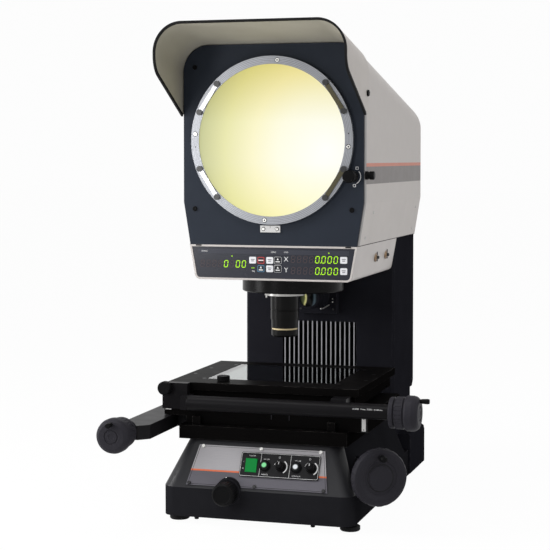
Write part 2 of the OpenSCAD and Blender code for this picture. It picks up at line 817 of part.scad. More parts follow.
// Base
module plinth_view(inset) {
    round_rect([-base_half + inset, -base_front + inset], [base_half - inset, base_back - inset],
        max(base_r - inset, 2));
}
// The neck between plinth and stage, with its sloping front and sides
module neck(inset, drop) {
    r = base_r - inset;
    low_half_w = base_half - inset;
    top_half_w = neck_half - inset;
    hull() {
        for (s = [-1, 1]) {
            translate([s * (low_half_w - r), -base_front + inset + r, plinth_top - drop])
                cylinder(r = r, h = neck_lip + drop, $fn = 64);
            translate([s * (top_half_w - r), -neck_front + inset + r, base_top - drop - neck_lip])
                cylinder(r = r, h = neck_lip, $fn = 64);
        }
        block([-low_half_w, column_front - inset - e, plinth_top - drop],
            [low_half_w, column_front - inset, plinth_top + neck_lip]);
        block([-top_half_w, column_front - inset - e, base_top - drop - neck_lip],
            [top_half_w, column_front - inset, base_top - drop]);
    }
}
module lift_axis(from, to, r) {
    facing(gear_pos + lift_dir * from, lift_turn) cylinder(r = r, h = to - from);
}
module base_casting() {
    color([0.17, 0.17, 0.18]) difference() {
        union() {
            difference() {
                union() {
                    translate([0, 0, base_lift]) linear_extrude(plinth_top - base_lift) plinth_view(0);
                    neck(0, 0);
                    translate([iris_x, iris_y, iris_z]) rod_y(iris_knob_d / 2 + 3, base_front + iris_y + 8 + 12);
                }
                translate([0, 0, base_lift - e]) linear_extrude(plinth_top - cast_t - base_lift + e)
                    plinth_view(cast_t);
                neck(cast_t, cast_t);
            }
            translate([0, 0, post_bottom]) cylinder(r = post_r + guide_wall, h = base_top - post_bottom - 1);
            for (p = FEET) translate([p.x, p.y, bottom_top])
                cylinder(r = lug_r, h = plinth_top - cast_t - bottom_top + e);
            lift_axis(lift_boss_near, lift_boss_far, lift_boss_r);
        }
        translate([0, 0, base_lift]) cylinder(r = post_r + run, h = base_top);
        for (p = FEET) translate([p.x, p.y, base_lift])
            cylinder(r = stem_r + run, h = lug_top - base_lift);
        lift_axis(lift_boss_near - e, lift_boss_far + e, lift_shaft_r + run);
        translate([gear_pos.x, gear_pos.y, post_bottom]) cylinder(r = screw_r + 5, h = base_top);
        translate([iris_x, iris_y - e, iris_z]) rod_y(6 + run, 40);
        on_slope() block([switch_x - switch_panel_w / 2 + 10, switch_s - switch_panel_h / 2 + 6, -3 * cast_t],
            [switch_x + switch_panel_w / 2 - 6, switch_s + switch_panel_h / 2 - 6, e]);
    }
}
module base_bottom_plate() {
    wedge = 24;
    color("dimgray") difference() {
        union() {
            translate([0, 0, base_lift]) linear_extrude(bottom_t) plinth_view(cast_t + seat);
            translate([-40, 0, 0]) along_x(80) polygon([[-wedge, bottom_top - e], [wedge, bottom_top - e],
                [wedge, lamp_z - wedge], [-wedge, lamp_z + wedge]]);
            block([-28, 96, bottom_top - e], [28, 104, lamp_z + 28]);
            translate([gear_pos.x, gear_pos.y, bottom_top - e])
                cylinder(r = 16, h = gear_pos.z - gear_far - 2 - bottom_top + e);
        }
        translate([gear_pos.x, gear_pos.y, bottom_top]) cylinder(r = screw_r + 2, h = gear_pos.z);
        for (p = FEET) translate([p.x, p.y, base_lift - e])
            cylinder(r = stem_r + 1, h = bottom_t + 2 * e);
        translate([0, 98, lamp_z]) rod_y(condenser_r + run, 10);
        translate([0, 90, lamp_z]) rod_y(condenser_r - 2, 20);
    }
}
module levelling_feet() {
    color([0.08, 0.08, 0.08]) for (p = FEET) translate([p.x, p.y, 0]) {
        rotate_extrude() polygon([[0, 0], [foot_d / 2 - 2, 0], [foot_d / 2, 2], [foot_d / 2, pad_t - 1.5],
            [foot_d / 2 - 2, pad_t], [stem_r, pad_t], [stem_r, pad_t + 3], [stem_r + 5, pad_t + 3],
            [stem_r + 5, base_lift], [stem_r, base_lift], [stem_r, lug_top - 4], [0, lug_top - 4]]);
    }
}
module iris_knob() {
    r = iris_knob_d / 2;
    color([0.1, 0.1, 0.1]) translate([iris_x, iris_y - free, iris_z]) difference() {
        union() {
            translate([0, -e, 0]) rod_y(6, 20);
            rotate([90, 0, 0]) rotate_extrude() polygon([[0, 0], [r - 4, 0], [r - 4, 4], [r, 5],
                [r, iris_knob_len - 4], [r - 4, iris_knob_len], [r - 6, iris_knob_len],
                [r - 7, iris_knob_len - 1], [0, iris_knob_len - 1]]);
        }
        for (k = [0 : 23]) rotate([0, 15 * k, 0]) translate([r + 1, -iris_knob_len + 2, 0])
            rod_y(1.8, iris_knob_len - 8);
    }
}
module lower_mirror() {
    color("lightblue") translate([-38, 0, lamp_z]) rotate([-45, 0, 0])
        block([0, -30, 0], [76, 30, 3]);
}
module condenser_lens() {
    r = condenser_r;
    color([0.7, 0.8, 0.85]) translate([0, 98, lamp_z]) rotate([-90, 0, 0]) rotate_extrude()
        polygon([[0, 0], [r, 0], [r, 4], [r - 3, 6], [r / 2, 8], [0, 9]]);
}
module contour_lamp() {
    color("khaki") {
        block([-14, 150, bottom_top], [14, 178, lamp_z - 10]);
        translate([0, 164, lamp_z - 10 - e]) cylinder(r = 7, h = 14 + e);
        translate([0, 164, lamp_z + 4]) sphere(r = 7);
    }
}
module lamp_cover() {
    y0 = column_front + 37;
    high = plinth_top + 36;
    wide = base_half + lamp_cover_out;
    color([0.1, 0.1, 0.1]) intersection() {
        translate([0, y0, 0]) along_y(base_back - y0) polygon([[column_half, plinth_top],
            [base_half, plinth_top], [base_half, base_lift + 4], [wide, base_lift + 4], [wide, high - 4],
            [wide - 4, high], [column_half, high]]);
        along_x(2 * base_w) polygon([[y0, 0], [base_back, 0], [base_back, high - 14],
            [base_back - 14, high + e], [y0, high + e]]);
    }
}

// Controls on the sloping front
module control_panel() {
    color("silver") difference() {
        on_slope() linear_extrude(panel_sheet) polygon([[-panel_low_half, panel_low],
            [panel_low_half, panel_low], [panel_high_half, panel_high], [-panel_high_half, panel_high]]);
        translate([iris_x, -2 * base_front, iris_z]) rod_y(iris_knob_d / 2 + 4, 2 * base_front);
        control_holes();
    }
}
module switch_panel() {
    low = [switch_x - switch_panel_w / 2, switch_s - switch_panel_h / 2];
    high = low + [switch_panel_w, switch_panel_h];
    color([0.1, 0.1, 0.1]) difference() {
        on_slope() translate([0, 0, panel_sheet]) linear_extrude(switch_t) round_rect(low, high, 4);
        control_holes();
    }
}
module control_holes() {
    on_slope() {
        block([rocker_x - rocker_w / 2 - 0.5, control_s - rocker_h / 2 - 0.5, -e],
            [rocker_x + rocker_w / 2 + 0.5, control_s + rocker_h / 2 + 0.5, switch_face + e]);
        for (x = BUTTON_X) translate([x, control_s, -e]) cylinder(r = button_d / 2 + run, h = switch_face + 2 * e);
        for (x = DIMMER_X) translate([x, control_s, -e])
            cylinder(r = dimmer_shaft_r + run, h = switch_face + 2 * e);
    }
}
module power_rocker() {
    r = rocker_h / 2;
    color("seagreen") on_slope() translate([rocker_x - rocker_w / 2, control_s, switch_face - 2])
        rotate([0, 90, 0]) intersection() {
            cylinder(r = r, h = rocker_w);
            linear_extrude(rocker_w) polygon([[6, -r], [6, r], [-6.5, r], [-4.5, 0], [-2.5, -r]]);
        }
}
module light_button(x) {
    r = button_d / 2;
    face = switch_face + 2 * button_travel;
    color("whitesmoke") on_slope() translate([x, control_s, 0]) rotate_extrude()
        polygon([[0, -4], [r, -4], [r, face], [r - 1.5, face + 2], [r - 3, face + 2.4], [0, face + 2.8]]);
}
module dimmer_knob(x) {
    r = dimmer_d / 2;
    color([0.1, 0.1, 0.1]) on_slope() translate([x, control_s, 0]) difference() {
        union() {
            translate([0, 0, -6]) cylinder(r = dimmer_shaft_r, h = switch_face + 7);
            translate([0, 0, switch_face + free]) rotate_extrude() polygon([[0, 0], [r, 0], [r, 3],
                [r - 1.5, 4], [r - 2, dimmer_h - 1.5], [r - 3.5, dimmer_h], [0, dimmer_h]]);
        }
        block([-0.6, r / 3, switch_face + dimmer_h - 0.6], [0.6, r, switch_face + dimmer_h + e]);
    }
}

// Stage
module z_table() {
    color([0.12, 0.12, 0.13]) difference() {
        union() {
            block([-table_half, -stage_front + 1, table_z], [table_half, table_back, table_z + table_t]);
            translate([0, 0, post_bottom]) cylinder(r = post_r, h = table_z - post_bottom + e);
            for (x = [-y_rail_x, y_rail_x]) block([x - rail_w / 2, -stage_front + 8, carriage_z - e],
                [x + rail_w / 2, table_back - 5, carriage_z + rail_h]);
        }
        translate([0, 0, post_bottom - e]) cylinder(r = post_in, h = carriage_z);
    }
}
module z_screw() {
    color("silver") translate([gear_pos.x, gear_pos.y, bottom_top + 3])
        cylinder(r = screw_r, h = table_z - bottom_top - 3);
}
module z_nut_gear() {
    color("goldenrod") translate([gear_pos.x, gear_pos.y, gear_pos.z]) rotate_extrude()
        polygon([[screw_r + run, -gear_near], [gear_near - gear_gap, -gear_near],
            [gear_far - gear_gap, -gear_far], [14, -gear_far], [14, -gear_far - 2 + free],
            [screw_r + run, -gear_far - 2 + free]]);
}
module z_handwheel() {
    r = lift_wheel_r;
    t = lift_wheel_t;
    color([0.2, 0.2, 0.21]) facing(gear_pos + lift_dir * lift_wheel_at, lift_turn) difference() {
        union() {
            translate([0, 0, -lift_wheel_at]) rotate_extrude() polygon([[0, gear_near],
                [gear_near - gear_gap, gear_near], [gear_far - gear_gap, gear_far],
                [lift_shaft_r, gear_far], [lift_shaft_r, lift_wheel_at + e], [0, lift_wheel_at + e]]);
            rotate_extrude() polygon([[0, 0], [20, 0], [22, 3], [r - 7, 3], [r - 2, 5], [r, 9], [r, t - 8],
                [r - 3, t - 2], [r - 8, t], [r - 14, t], [34, t - 2.5], [32.5, t - 4], [26, t - 4], [24.5, t - 3],
                [24, t - 1], [22, t - 0.5], [0, t - 0.5]]);
        }
        for (k = [0 : 19]) rotate([0, 0, 18 * k + 9]) translate([r + 5.5, 0, -e]) cylinder(r = 7, h = t + 2 * e);
        translate([0, lift_crank_radius, t - 14]) cylinder(r = lift_crank_pin_r + run, h = 20);
    }
}
module z_crank_handle() {
    t = lift_wheel_t;
    color([0.1, 0.1, 0.1]) facing(gear_pos + lift_dir * lift_wheel_at, lift_turn)
        translate([0, lift_crank_radius, 0]) rotate_extrude() polygon([[0, t - 13], [lift_crank_pin_r, t - 13],
            [lift_crank_pin_r, t + free], [5.5, t + free], [6.5, t + 4], [6.5, t + crank_len - 4],
            [5.5, t + crank_len - 1], [3, t + crank_len], [0, t + crank_len]]);
}
// A stage handwheel with its shaft, seen along its axis from the outside
module feed_wheel() {
    r = wheel_r;
    len = wheel_len;
    difference() {
        union() {
            translate([0, 0, -shaft_len + free]) cylinder(r = shaft_r, h = shaft_len);
            rotate_extrude() polygon([[0, 0], [r - 5, 0], [r - 4, 1.5], [r - 4, 8], [r - 7, 9.5], [r - 7, 11],
                [r - 3, 12.5], [r - 3, 27], [r - 5, 28.5], [r - 5, 30], [r - 1, 31.5], [r, 33.5], [r, len - 12],
                [r - 1.5, len - 6], [r - 5, len - 2], [r - 9, len], [15, len], [14, len - 1.5], [12.5, len - 1.5],
                [11.5, len - 0.3], [6.5, len - 0.3], [6, len - 1], [0, len - 1]]);
        }
        for (k = [0 : 23]) rotate([0, 0, 15 * k]) translate([r - 2.2, 0, 13.5]) cylinder(r = 1.6, h = 12.5);
        translate([0, crank_radius, len - 15]) cylinder(r = crank_pin_r + run, h = 20);
    }
}
module crank_handle() {
    len = wheel_len;
    translate([0, crank_radius, 0]) rotate_extrude() polygon([[0, len - 14], [crank_pin_r, len - 14],
        [crank_pin_r, len + free], [3.8, len + free], [4.6, len + 5], [5.2, len + crank_len - 3],
        [4.4, len + crank_len], [0, len + crank_len]]);
}
module feed_arm() {
    color([0.14, 0.14, 0.15]) difference() {
        union() {
            translate([0, 0, arm_bottom]) linear_extrude(arm_top - arm_bottom) polygon([
                [-arm_outer, -arm_reach], [-arm_inner - 19, -arm_reach], [-arm_inner, -arm_reach + 19],
                [-arm_inner, -110], [-table_half, -110], [-table_half, 40], [-arm_outer + 30, 40],
                [-arm_outer, 10]]);
            translate([-y_wheel_x, -arm_reach - collar_len, y_wheel_z]) rotate([-90, 0, 0]) rotate_extrude()
                polygon([[0, 0], [17, 0], [18, 1], [18, 12], [20, 13], [20, collar_len + e], [0, collar_len + e]]);
        }
        translate([-y_wheel_x, -arm_reach - collar_len - e, y_wheel_z]) rod_y(shaft_r + run, shaft_len + 5);
    }
}
module y_handwheel() { color([0.2, 0.2, 0.21]) facing(Y_WHEEL, 0) feed_wheel(); }
module y_crank_handle() { color([0.1, 0.1, 0.1]) facing(Y_WHEEL, 0) crank_handle(); }
module x_handwheel() { color([0.2, 0.2, 0.21]) facing(X_WHEEL, 90) feed_wheel(); }
module x_crank_handle() { color([0.1, 0.1, 0.1]) facing(X_WHEEL, 90) crank_handle(); }

module y_carriage() {
    low = carriage_z + free;
    color([0.1, 0.1, 0.11]) difference() {
        union() {
            translate([0, -carriage_reach, 0]) along_y(2 * carriage_reach) polygon([[-carriage_half, low],
                [scale_end, low], [scale_end, carriage_top], [-scale_end, carriage_top],
                [-scale_end, arm_top + 1], [-carriage_half, arm_top + 1]]);
            for (y = [-x_rail_y, x_rail_y]) block([-carriage_half, y - rail_w / 2, carriage_top - e],
                [carriage_half, y + rail_w / 2, rail_top]);
        }
        block([-window_half, -window_front, low - e], [window_half, window_back, stage_z]);
        for (x = [-y_rail_x, y_rail_x]) block([x - rail_w / 2 - free, -stage_front, low - e],
            [x + rail_w / 2 + free, stage_back, carriage_z + rail_h + free]);
    }
}
module x_table() {
    half = stage_w / 2;
    glass_half = stage_glass_w / 2;
    color([0.13, 0.12, 0.12]) difference() {
        union() {
            block([-half, -stage_front, stage_z - xtop_t], [half, stage_back, stage_z]);
            block([-half + 9, -stage_front + 13, xplate_z], [half - 9, stage_back - 8, stage_z - xtop_t + e]);
        }
        block([-glass_half - seat, -stage_glass_front - seat, stage_z - stage_glass_t],
            [glass_half + seat, stage_glass_back + seat, stage_z + e]);
        block([-glass_half + 14, -stage_glass_front + 12, xplate_z - e],
            [glass_half - 14, stage_glass_back - 12, stage_z]);
        for (y = [-x_rail_y, x_rail_y]) block([-half, y - rail_w / 2 - free, xplate_z - e],
            [half, y + rail_w / 2 + free, rail_top + free]);
        translate([THUMB_SCREW.x, THUMB_SCREW.y, stage_z - xtop_t + 2]) cylinder(r = 4 + run, h = xtop_t);
    }
}
module stage_thumb_screw() {
    r = 13;
    color([0.1, 0.1, 0.1]) translate(THUMB_SCREW + [0, 0, free]) difference() {
        union() {
            translate([0, 0, 2 - xtop_t]) cylinder(r = 4, h = xtop_t);
            rotate_extrude() polygon([[0, 0], [r - 1, 0], [r, 1], [r, 9], [r - 1, 10], [r - 3, 10],
                [r - 4, 9.4], [0, 9.4]]);
        }
        for (k = [0 : 23]) rotate([0, 0, 15 * k]) translate([r + 0.8, 0, 1.5]) cylinder(r = 1.4, h = 7);
    }
}
module stage_glass() {
    half = stage_glass_w / 2;
    color([0.6, 0.75, 0.75]) block([-half, -stage_glass_front, stage_z - stage_glass_t],
        [half, stage_glass_back, stage_z]);
}
module x_feed_tube() {
    color([0.16, 0.16, 0.17]) difference() {
        union() {
            translate([tube_start, tube_y, tube_z]) rod_x(tube_r, tube_end - tube_start);
            block([-stage_w / 2 - 6, LOCK_KNOB.y, xplate_z - 13], [tube_start - 7, -stage_front, stage_z]);
            block([tube_start - 12, tube_y - 12, tube_z - 13], [tube_start + e, -stage_front, tube_z + 13]);
            block([lug_x, tube_y, tube_z - 8], [lug_x + lug_w, -stage_front + 13, stage_z - xtop_t]);
        }
        translate([tube_end - shaft_len - 5, tube_y, tube_z]) rod_x(shaft_r + run, shaft_len + 10);
        translate([LOCK_KNOB.x, LOCK_KNOB.y - e, LOCK_KNOB.z]) rod_y(4 + run, 14);
    }
}
module stage_lock_knob() {
    r = lock_knob_r;
    color([0.15, 0.15, 0.15]) translate([LOCK_KNOB.x, LOCK_KNOB.y - free, LOCK_KNOB.z]) {
        translate([0, -e, 0]) rod_y(4, 12);
        rotate([90, 0, 0]) rotate_extrude() polygon([[0, 0], [r - 2, 0], [r, 2], [r, 13], [r - 2, 15], [0, 15]]);
    }
}

// Every piece is drawn in the layout frame and moved so that the bench point below its middle is the origin
module placed() { translate(-center) children(); }

placed() base_casting();
placed() base_bottom_plate();
placed() levelling_feet();
placed() control_panel();
placed() switch_panel();
placed() power_rocker();
placed() light_button(BUTTON_X[0]);  // surface_light_button
placed() light_button(BUTTON_X[1]);  // contour_light_button
placed() dimmer_knob(DIMMER_X[0]);  // surface_dimmer_knob
placed() dimmer_knob(DIMMER_X[1]);  // contour_dimmer_knob
placed() iris_knob();
placed() lamp_cover();
placed() contour_lamp();
placed() condenser_lens();
placed() lower_mirror();
placed() column_casting();
placed() column_rear_cover();
placed() vent_grille();
placed() mains_inlet();
placed() illuminator_housing();
placed() illuminator_lens();
placed() head_casting();
placed() head_cover();
placed() front_frame();
placed() front_panel();
placed() hood();
placed() hood_edging();
placed() hood_screws();
placed() first_mirror();
placed() main_mirror();
placed() screen_ring();
placed() screen_glass();
placed() screen_retainer();
placed() chart_clip(CLIP_ANGLES[0]);  // chart_clip_1
placed() chart_clip(CLIP_ANGLES[1]);  // chart_clip_2
placed() chart_clip(CLIP_ANGLES[2]);  // chart_clip_3
placed() chart_clip(CLIP_ANGLES[3]);  // chart_clip_4
placed() fine_turn_knob();
placed() screen_clamp_knob();
placed() counter_housing();
placed() display_panel();
placed() lens_turret();
placed() lens_barrel();
placed() lens_glass();
placed() z_table();
placed() z_screw();
placed() z_nut_gear();
placed() z_handwheel();
placed() z_crank_handle();
placed() feed_arm();
placed() y_handwheel();
placed() y_crank_handle();
placed() y_carriage();
placed() x_table();
placed() stage_glass();
placed() stage_thumb_screw();
placed() x_feed_tube();
placed() x_handwheel();
placed() x_crank_handle();
placed() stage_lock_knob();
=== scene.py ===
"""Looks of a bench profile projector: paints, metals, glass, displays, prints and small fasteners."""

import json
import math

import bmesh
import bpy
from mathutils import Matrix, Vector


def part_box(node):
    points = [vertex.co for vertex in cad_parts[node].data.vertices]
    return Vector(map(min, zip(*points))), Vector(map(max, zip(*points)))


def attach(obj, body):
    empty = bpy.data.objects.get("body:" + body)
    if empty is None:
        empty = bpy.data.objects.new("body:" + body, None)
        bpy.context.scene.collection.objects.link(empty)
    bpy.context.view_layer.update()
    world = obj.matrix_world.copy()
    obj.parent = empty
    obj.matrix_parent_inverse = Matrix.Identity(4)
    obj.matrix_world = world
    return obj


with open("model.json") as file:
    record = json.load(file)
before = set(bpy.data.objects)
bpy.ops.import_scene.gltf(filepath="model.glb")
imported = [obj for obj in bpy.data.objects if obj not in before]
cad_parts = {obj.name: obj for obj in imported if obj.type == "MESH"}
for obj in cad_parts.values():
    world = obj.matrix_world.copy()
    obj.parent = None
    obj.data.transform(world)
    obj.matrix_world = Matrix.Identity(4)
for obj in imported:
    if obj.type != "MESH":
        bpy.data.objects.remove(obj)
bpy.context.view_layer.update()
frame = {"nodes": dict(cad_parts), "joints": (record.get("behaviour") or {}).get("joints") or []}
NODES = frame["nodes"]
JOINTS = {joint["name"]: joint for joint in frame["joints"]}

# Places: drawings are in millimetres from the optical axis and the bench, and the frame is in metres
MM = 0.001
RIGHT = Vector((1, 0, 0))
BACK = Vector((0, 1, 0))
UP = Vector((0, 0, 1))
lens_low, lens_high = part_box("lens_barrel")
OPTICAL_AXIS = (lens_low + lens_high) / 2


def at(x, y, z):
    """The frame point at so many millimetres."""
    return Vector((OPTICAL_AXIS.x + x * MM, OPTICAL_AXIS.y + y * MM, z * MM))


def measured(point):
    """The millimetres at which a frame point lies, the reverse of at."""
    return Vector(((point.x - OPTICAL_AXIS.x) / MM, (point.y - OPTICAL_AXIS.y) / MM, point.z / MM))


def lowest(node_name):
    """The left, front and bottom of a solid, in millimetres."""
    return measured(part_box(node_name)[0])


def highest(node_name):
    """The right, back and top of a solid, in millimetres."""
    return measured(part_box(node_name)[1])


def joint_point(name):
    """The frame point that a joint turns about."""
    return Vector(JOINTS[name]["pos_m"])


def joint_axis(name):
    """The direction that a joint turns about."""
    return Vector(JOINTS[name]["axis"])


SCREEN = joint_point("screen_turn")
PANEL_Y = lowest("front_panel").y
DISPLAY_Y = lowest("display_panel").y
RING_Y = lowest("screen_ring").y
CARRIAGE_Y = lowest("y_carriage").y
STAGE_Z = highest("x_table").z
HEAD_HALF = highest("head_cover").x
HEAD_BACK_Y = highest("head_cover").y
REAR_COVER_Y = highest("column_rear_cover").y

# Controls on the sloping front: places along the slope, and how far faces stand off it
BUTTON_X, DIMMER_X, CONTROL_S = (13, 77), (45, 107), 52
PLATE_FACE, SWITCH_FACE, BUTTON_FACE = 2, 5, 10
DIMMER_PIVOT = 8
# A dimmer's turning axis stands on the sloping front, so it gives the slope's place and tilt
SLOPE_POINT = joint_point("surface_dimmer_turn")
SLOPE_OUT = joint_axis("surface_dimmer_turn")
SLOPE_UP = SLOPE_OUT.cross(RIGHT)
SLOPE_POINT_AT = Vector((DIMMER_X[0], CONTROL_S, DIMMER_PIVOT))


def surface(origin, right, up):
    """The matrix that lays a flat drawing on a face: x to the right, y up, z out of the face."""
    out = right.cross(up)
    turn = Matrix((right, up, out)).transposed().to_4x4()
    return Matrix.Translation(origin) @ turn


def on_front(x, z, y):
    """Lays a drawing on a face that looks to the front."""
    return surface(at(x, y, z), RIGHT, UP)


def on_right(y, z, x):
    """Lays a drawing on a face that looks to the right."""
    return surface(at(x, y, z), BACK, UP)


def on_back(x, z, y):
    """Lays a drawing on a face that looks to the back."""
    return surface(at(x, y, z), -RIGHT, UP)


def on_top(x, y, z):
    """Lays a drawing on a face that looks up."""
    return surface(at(x, y, z), RIGHT, BACK)


def on_underside(x, y, z):
    """Lays a drawing on a face that looks down."""
    return surface(at(x, y, z), RIGHT, -BACK)


def on_slope(x, s, out):
    """Lays a drawing on the sloping front, s up the slope and out off it."""
    away = Vector((x, s, out)) - SLOPE_POINT_AT
    point = SLOPE_POINT + (RIGHT * away.x + SLOPE_UP * away.y + SLOPE_OUT * away.z) * MM
    return surface(point, RIGHT, SLOPE_UP)


# Node trees
def feed(tree, socket, given):
    """Links a socket to a node's output, or sets it to a plain value."""
    if isinstance(given, bpy.types.NodeSocket):
        tree.links.new(given, socket)
    else:
        socket.default_value = given


def add_node(tree, kind, feeds=None, **settings):
    """A node with its settings, and with its sockets fed by name or number."""
    made = tree.nodes.new(kind)
    for key, value in settings.items():
        setattr(made, key, value)
    for socket, given in (feeds or {}).items():
        feed(tree, made.inputs[socket], given)
    return made


# Materials
def srgb(red, green, blue):
    """A colour given as it looks on a screen, from 0 to 255, in the linear values that shaders take."""
    def linear(value):
        share = value / 255
        return share / 12.92 if share <= 0.04045 else ((share + 0.055) / 1.055) ** 2.4
    return (linear(red), linear(green), linear(blue), 1.0)


def grey(share):
    """A plain grey, or a number that a colour ramp carries."""
    return (share, share, share, 1.0)


def scaled(colour, factor):
    """A darker or paler shade of a colour."""
    return tuple(min(1.0, value * factor) for value in colour[:3]) + (1.0,)


class Finish:
    """A material and the few kinds of nodes that the finishes here are made of."""

    def __init__(self, name, colour, roughness, metallic=0.0, specular=0.5):
        self.material = bpy.data.materials.new(name)
        self.material.use_nodes = True
        self.tree = self.material.node_tree
        self.shader = self.tree.nodes["Principled BSDF"]
        self.place = self.node("ShaderNodeTexCoord").outputs["Object"]
        self.colour = colour
        self.give("Base Color", colour)
        self.give("Roughness", roughness)
        self.give("Metallic", metallic)
        self.give("Specular IOR Level", specular)

    def node(self, kind, feeds=None, **settings):
        return add_node(self.tree, kind, feeds, **settings)

    def give(self, socket, given):
        """Links or sets one of the shader's own sockets."""
        feed(self.tree, self.shader.inputs[socket], given)

    def mapped(self, centre=(0, 0, 0), scale=(1, 1, 1)):
        """The place on the object, centred on a point and stretched for a pattern."""
        feeds = {"Vector": self.place, "Location": centre, "Scale": scale}
        return self.node("ShaderNodeMapping", feeds, vector_type="TEXTURE").outputs["Vector"]

    def axis(self, name, where=None):
        """One coordinate of a place."""
        return self.node("ShaderNodeSeparateXYZ", {"Vector": where or self.place}).outputs[name]

    def distance(self, centre, scale=(1, 1, 1)):
        """How far a place is from a point."""
        feeds = {0: self.mapped(centre, scale)}
        return self.node("ShaderNodeVectorMath", feeds, operation="LENGTH").outputs["Value"]

    def maths(self, operation, first, second=0.0):
        return self.node("ShaderNodeMath", {0: first, 1: second}, operation=operation).outputs["Value"]

    def noise(self, scale, detail=3.0, where=None):
        feeds = {"Vector": where or self.place, "Scale": scale, "Detail": detail}
        return self.node("ShaderNodeTexNoise", feeds).outputs["Fac"]

    def ranged(self, value, low, high, start=0.0, end=1.0):
        """A value that runs from start to end, turned into one from low to high and held there."""
        feeds = {"Value": value, "From Min": start, "From Max": end, "To Min": low, "To Max": high}
        return self.node("ShaderNodeMapRange", feeds, clamp=True).outputs["Result"]

    def ramp(self, value, stops, kind="LINEAR"):
        """Colours along a value from 0 to 1."""
        made = self.node("ShaderNodeValToRGB", {"Fac": value})
        made.color_ramp.interpolation = kind
        elements = made.color_ramp.elements
        for k, (where, colour) in enumerate(stops):
            stop = elements[k] if k < 2 else elements.new(where)
            stop.position = where
            stop.color = colour
        return made.outputs["Color"]

    def banded(self, value, bands, end):
        """Sharp bands of colour along a coordinate in metres, each given by where it starts."""
        start = bands[0][0]
        stops = [((where - start) / (end - start), colour) for where, colour in bands]
        return self.ramp(self.ranged(value, 0.0, 1.0, start, end), stops, "CONSTANT")

    def mixed(self, share, first, second, blend="MIX"):
        """Two colours mixed, by the numbers of the colour sockets of a Mix node."""
        feeds = {0: share, 6: first, 7: second}
        return self.node("ShaderNodeMix", feeds, data_type="RGBA", blend_type=blend).outputs[2]

    def shaded(self, amount, scale=14.0):
        """The finish's own colour with soft cloudy variation."""
        dark, pale = scaled(self.colour, 1 - amount), scaled(self.colour, 1 + amount)
        return self.ramp(self.noise(scale, 4.0), [(0.3, dark), (0.7, pale)])

    def rounded(self, radius):
        """A normal that rounds hard edges, as paint and tumbling do, by a radius in millimetres."""
        return self.node("ShaderNodeBevel", {"Radius": radius * MM}, samples=4).outputs["Normal"]

    def grained(self, height, strength, depth, normal=None):
        """Gives the finish a fine relief, depth millimetres deep, on a rounded normal if there is one."""
        feeds = {"Height": height, "Strength": strength, "Distance": depth * MM}
        if normal is not None:
            feeds["Normal"] = normal
        self.give("Normal", self.node("ShaderNodeBump", feeds).outputs["Normal"])

    def edge(self, radius):
        """1 along sharp edges and 0 on open faces, from how far a rounded normal leans off the face."""
        sharp, open_face = 0.7, 0.98
        feeds = {0: self.rounded(radius), 1: self.node("ShaderNodeNewGeometry").outputs["Normal"]}
        lean = self.node("ShaderNodeVectorMath", feeds, operation="DOT_PRODUCT").outputs["Value"]
        return self.ranged(lean, 1.0, 0.0, sharp, open_face)


def painted(name, colour, roughness, grain=700.0, depth=0.05, strength=0.25, cloud=0.05, edge=0.7,
            specular=0.5):
    """Sprayed paint: cloudy colour, a fine orange-peel grain and softened edges."""
    paint = Finish(name, colour, roughness, specular=specular)
    paint.give("Base Color", paint.shaded(cloud))
    paint.give("Roughness", paint.ranged(paint.noise(40.0), roughness - 0.05, roughness + 0.06))
    paint.grained(paint.noise(grain, 2.0), strength, depth, paint.rounded(edge))
    return paint


def black_with_wear_and_highlight(name, colour, roughness, wear_and_highlight_colour, amount, specular, grain=900.0, reach=0.5):
    """Dark finish that is paler along its edges, as far as reach in millimetres: wear on handled parts, and
    painted highlight on the edges of the base, the column, the stage and the feed arm.
    """
    black = painted(name, colour, roughness, grain, depth=0.03, edge=max(0.7, reach), specular=specular)
    patchy = black.ranged(black.noise(60.0, 5.0), 0.0, amount, 0.4, 0.65)
    # The pale edge colour is painted highlight on some finishes and wear on others
    wear_and_highlight_share = black.maths("MULTIPLY", black.edge(reach), patchy)
    black.give("Base Color", black.mixed(wear_and_highlight_share, black.shaded(0.08), wear_and_highlight_colour))
    return black


def turned_metal(name, colour, roughness, centre, axis, metallic=1.0):
    """Metal with the fine rings that turning leaves, round an axis through centre."""
    ring_scale = 100.0
    metal = Finish(name, colour, roughness, metallic=metallic)
    feeds = {"Vector": metal.mapped(centre), "Scale": ring_scale, "Distortion": 0.6, "Detail": 2.0}
    rings = metal.node("ShaderNodeTexWave", feeds, wave_type="RINGS", rings_direction=axis).outputs["Fac"]
    metal.give("Roughness", metal.ranged(rings, roughness - 0.06, roughness + 0.08))
    metal.give("Base Color", metal.shaded(0.05, 25.0))
    metal.grained(rings, 0.08, 0.02, metal.rounded(0.5))
    return metal


def key_paint(name, colour, specular=0.5):
    """The smooth paint of the counter's keys."""
    return painted(name, colour, 0.35, grain=2000.0, depth=0.01, edge=0.4, specular=specular)


def ink(name, colour):
    """Printing ink, matt and very thin."""
    return painted(name, colour, 0.5, grain=2000.0, depth=0.005)


def cover_paint():
    """Pale grey head cover with its red line and dark band along both sides."""
    pale, red, dark = srgb(190, 184, 180), srgb(196, 116, 94), srgb(106, 100, 98)
    below, band_low, line_low, line_top, above = 0.4, 674 * MM, 708 * MM, 715 * MM, 1.0
    side_low, side_high = 189.9 * MM, 190.1 * MM
    paint = painted("cover_paint", pale, 0.45, grain=600.0, depth=0.04, strength=0.2, cloud=0.03, edge=1.5)
    bands = [(below, pale), (band_low, dark), (line_low, red), (line_top, pale)]
    colours = paint.banded(paint.axis("Z"), bands, above)
    off_middle = paint.maths("ABSOLUTE", paint.axis("X", paint.mapped((OPTICAL_AXIS.x, 0, 0))))
    on_side = paint.ranged(off_middle, 0.0, 1.0, side_low, side_high)
    paint.give("Base Color", paint.mixed(on_side, paint.shaded(0.03), colours))
    return paint


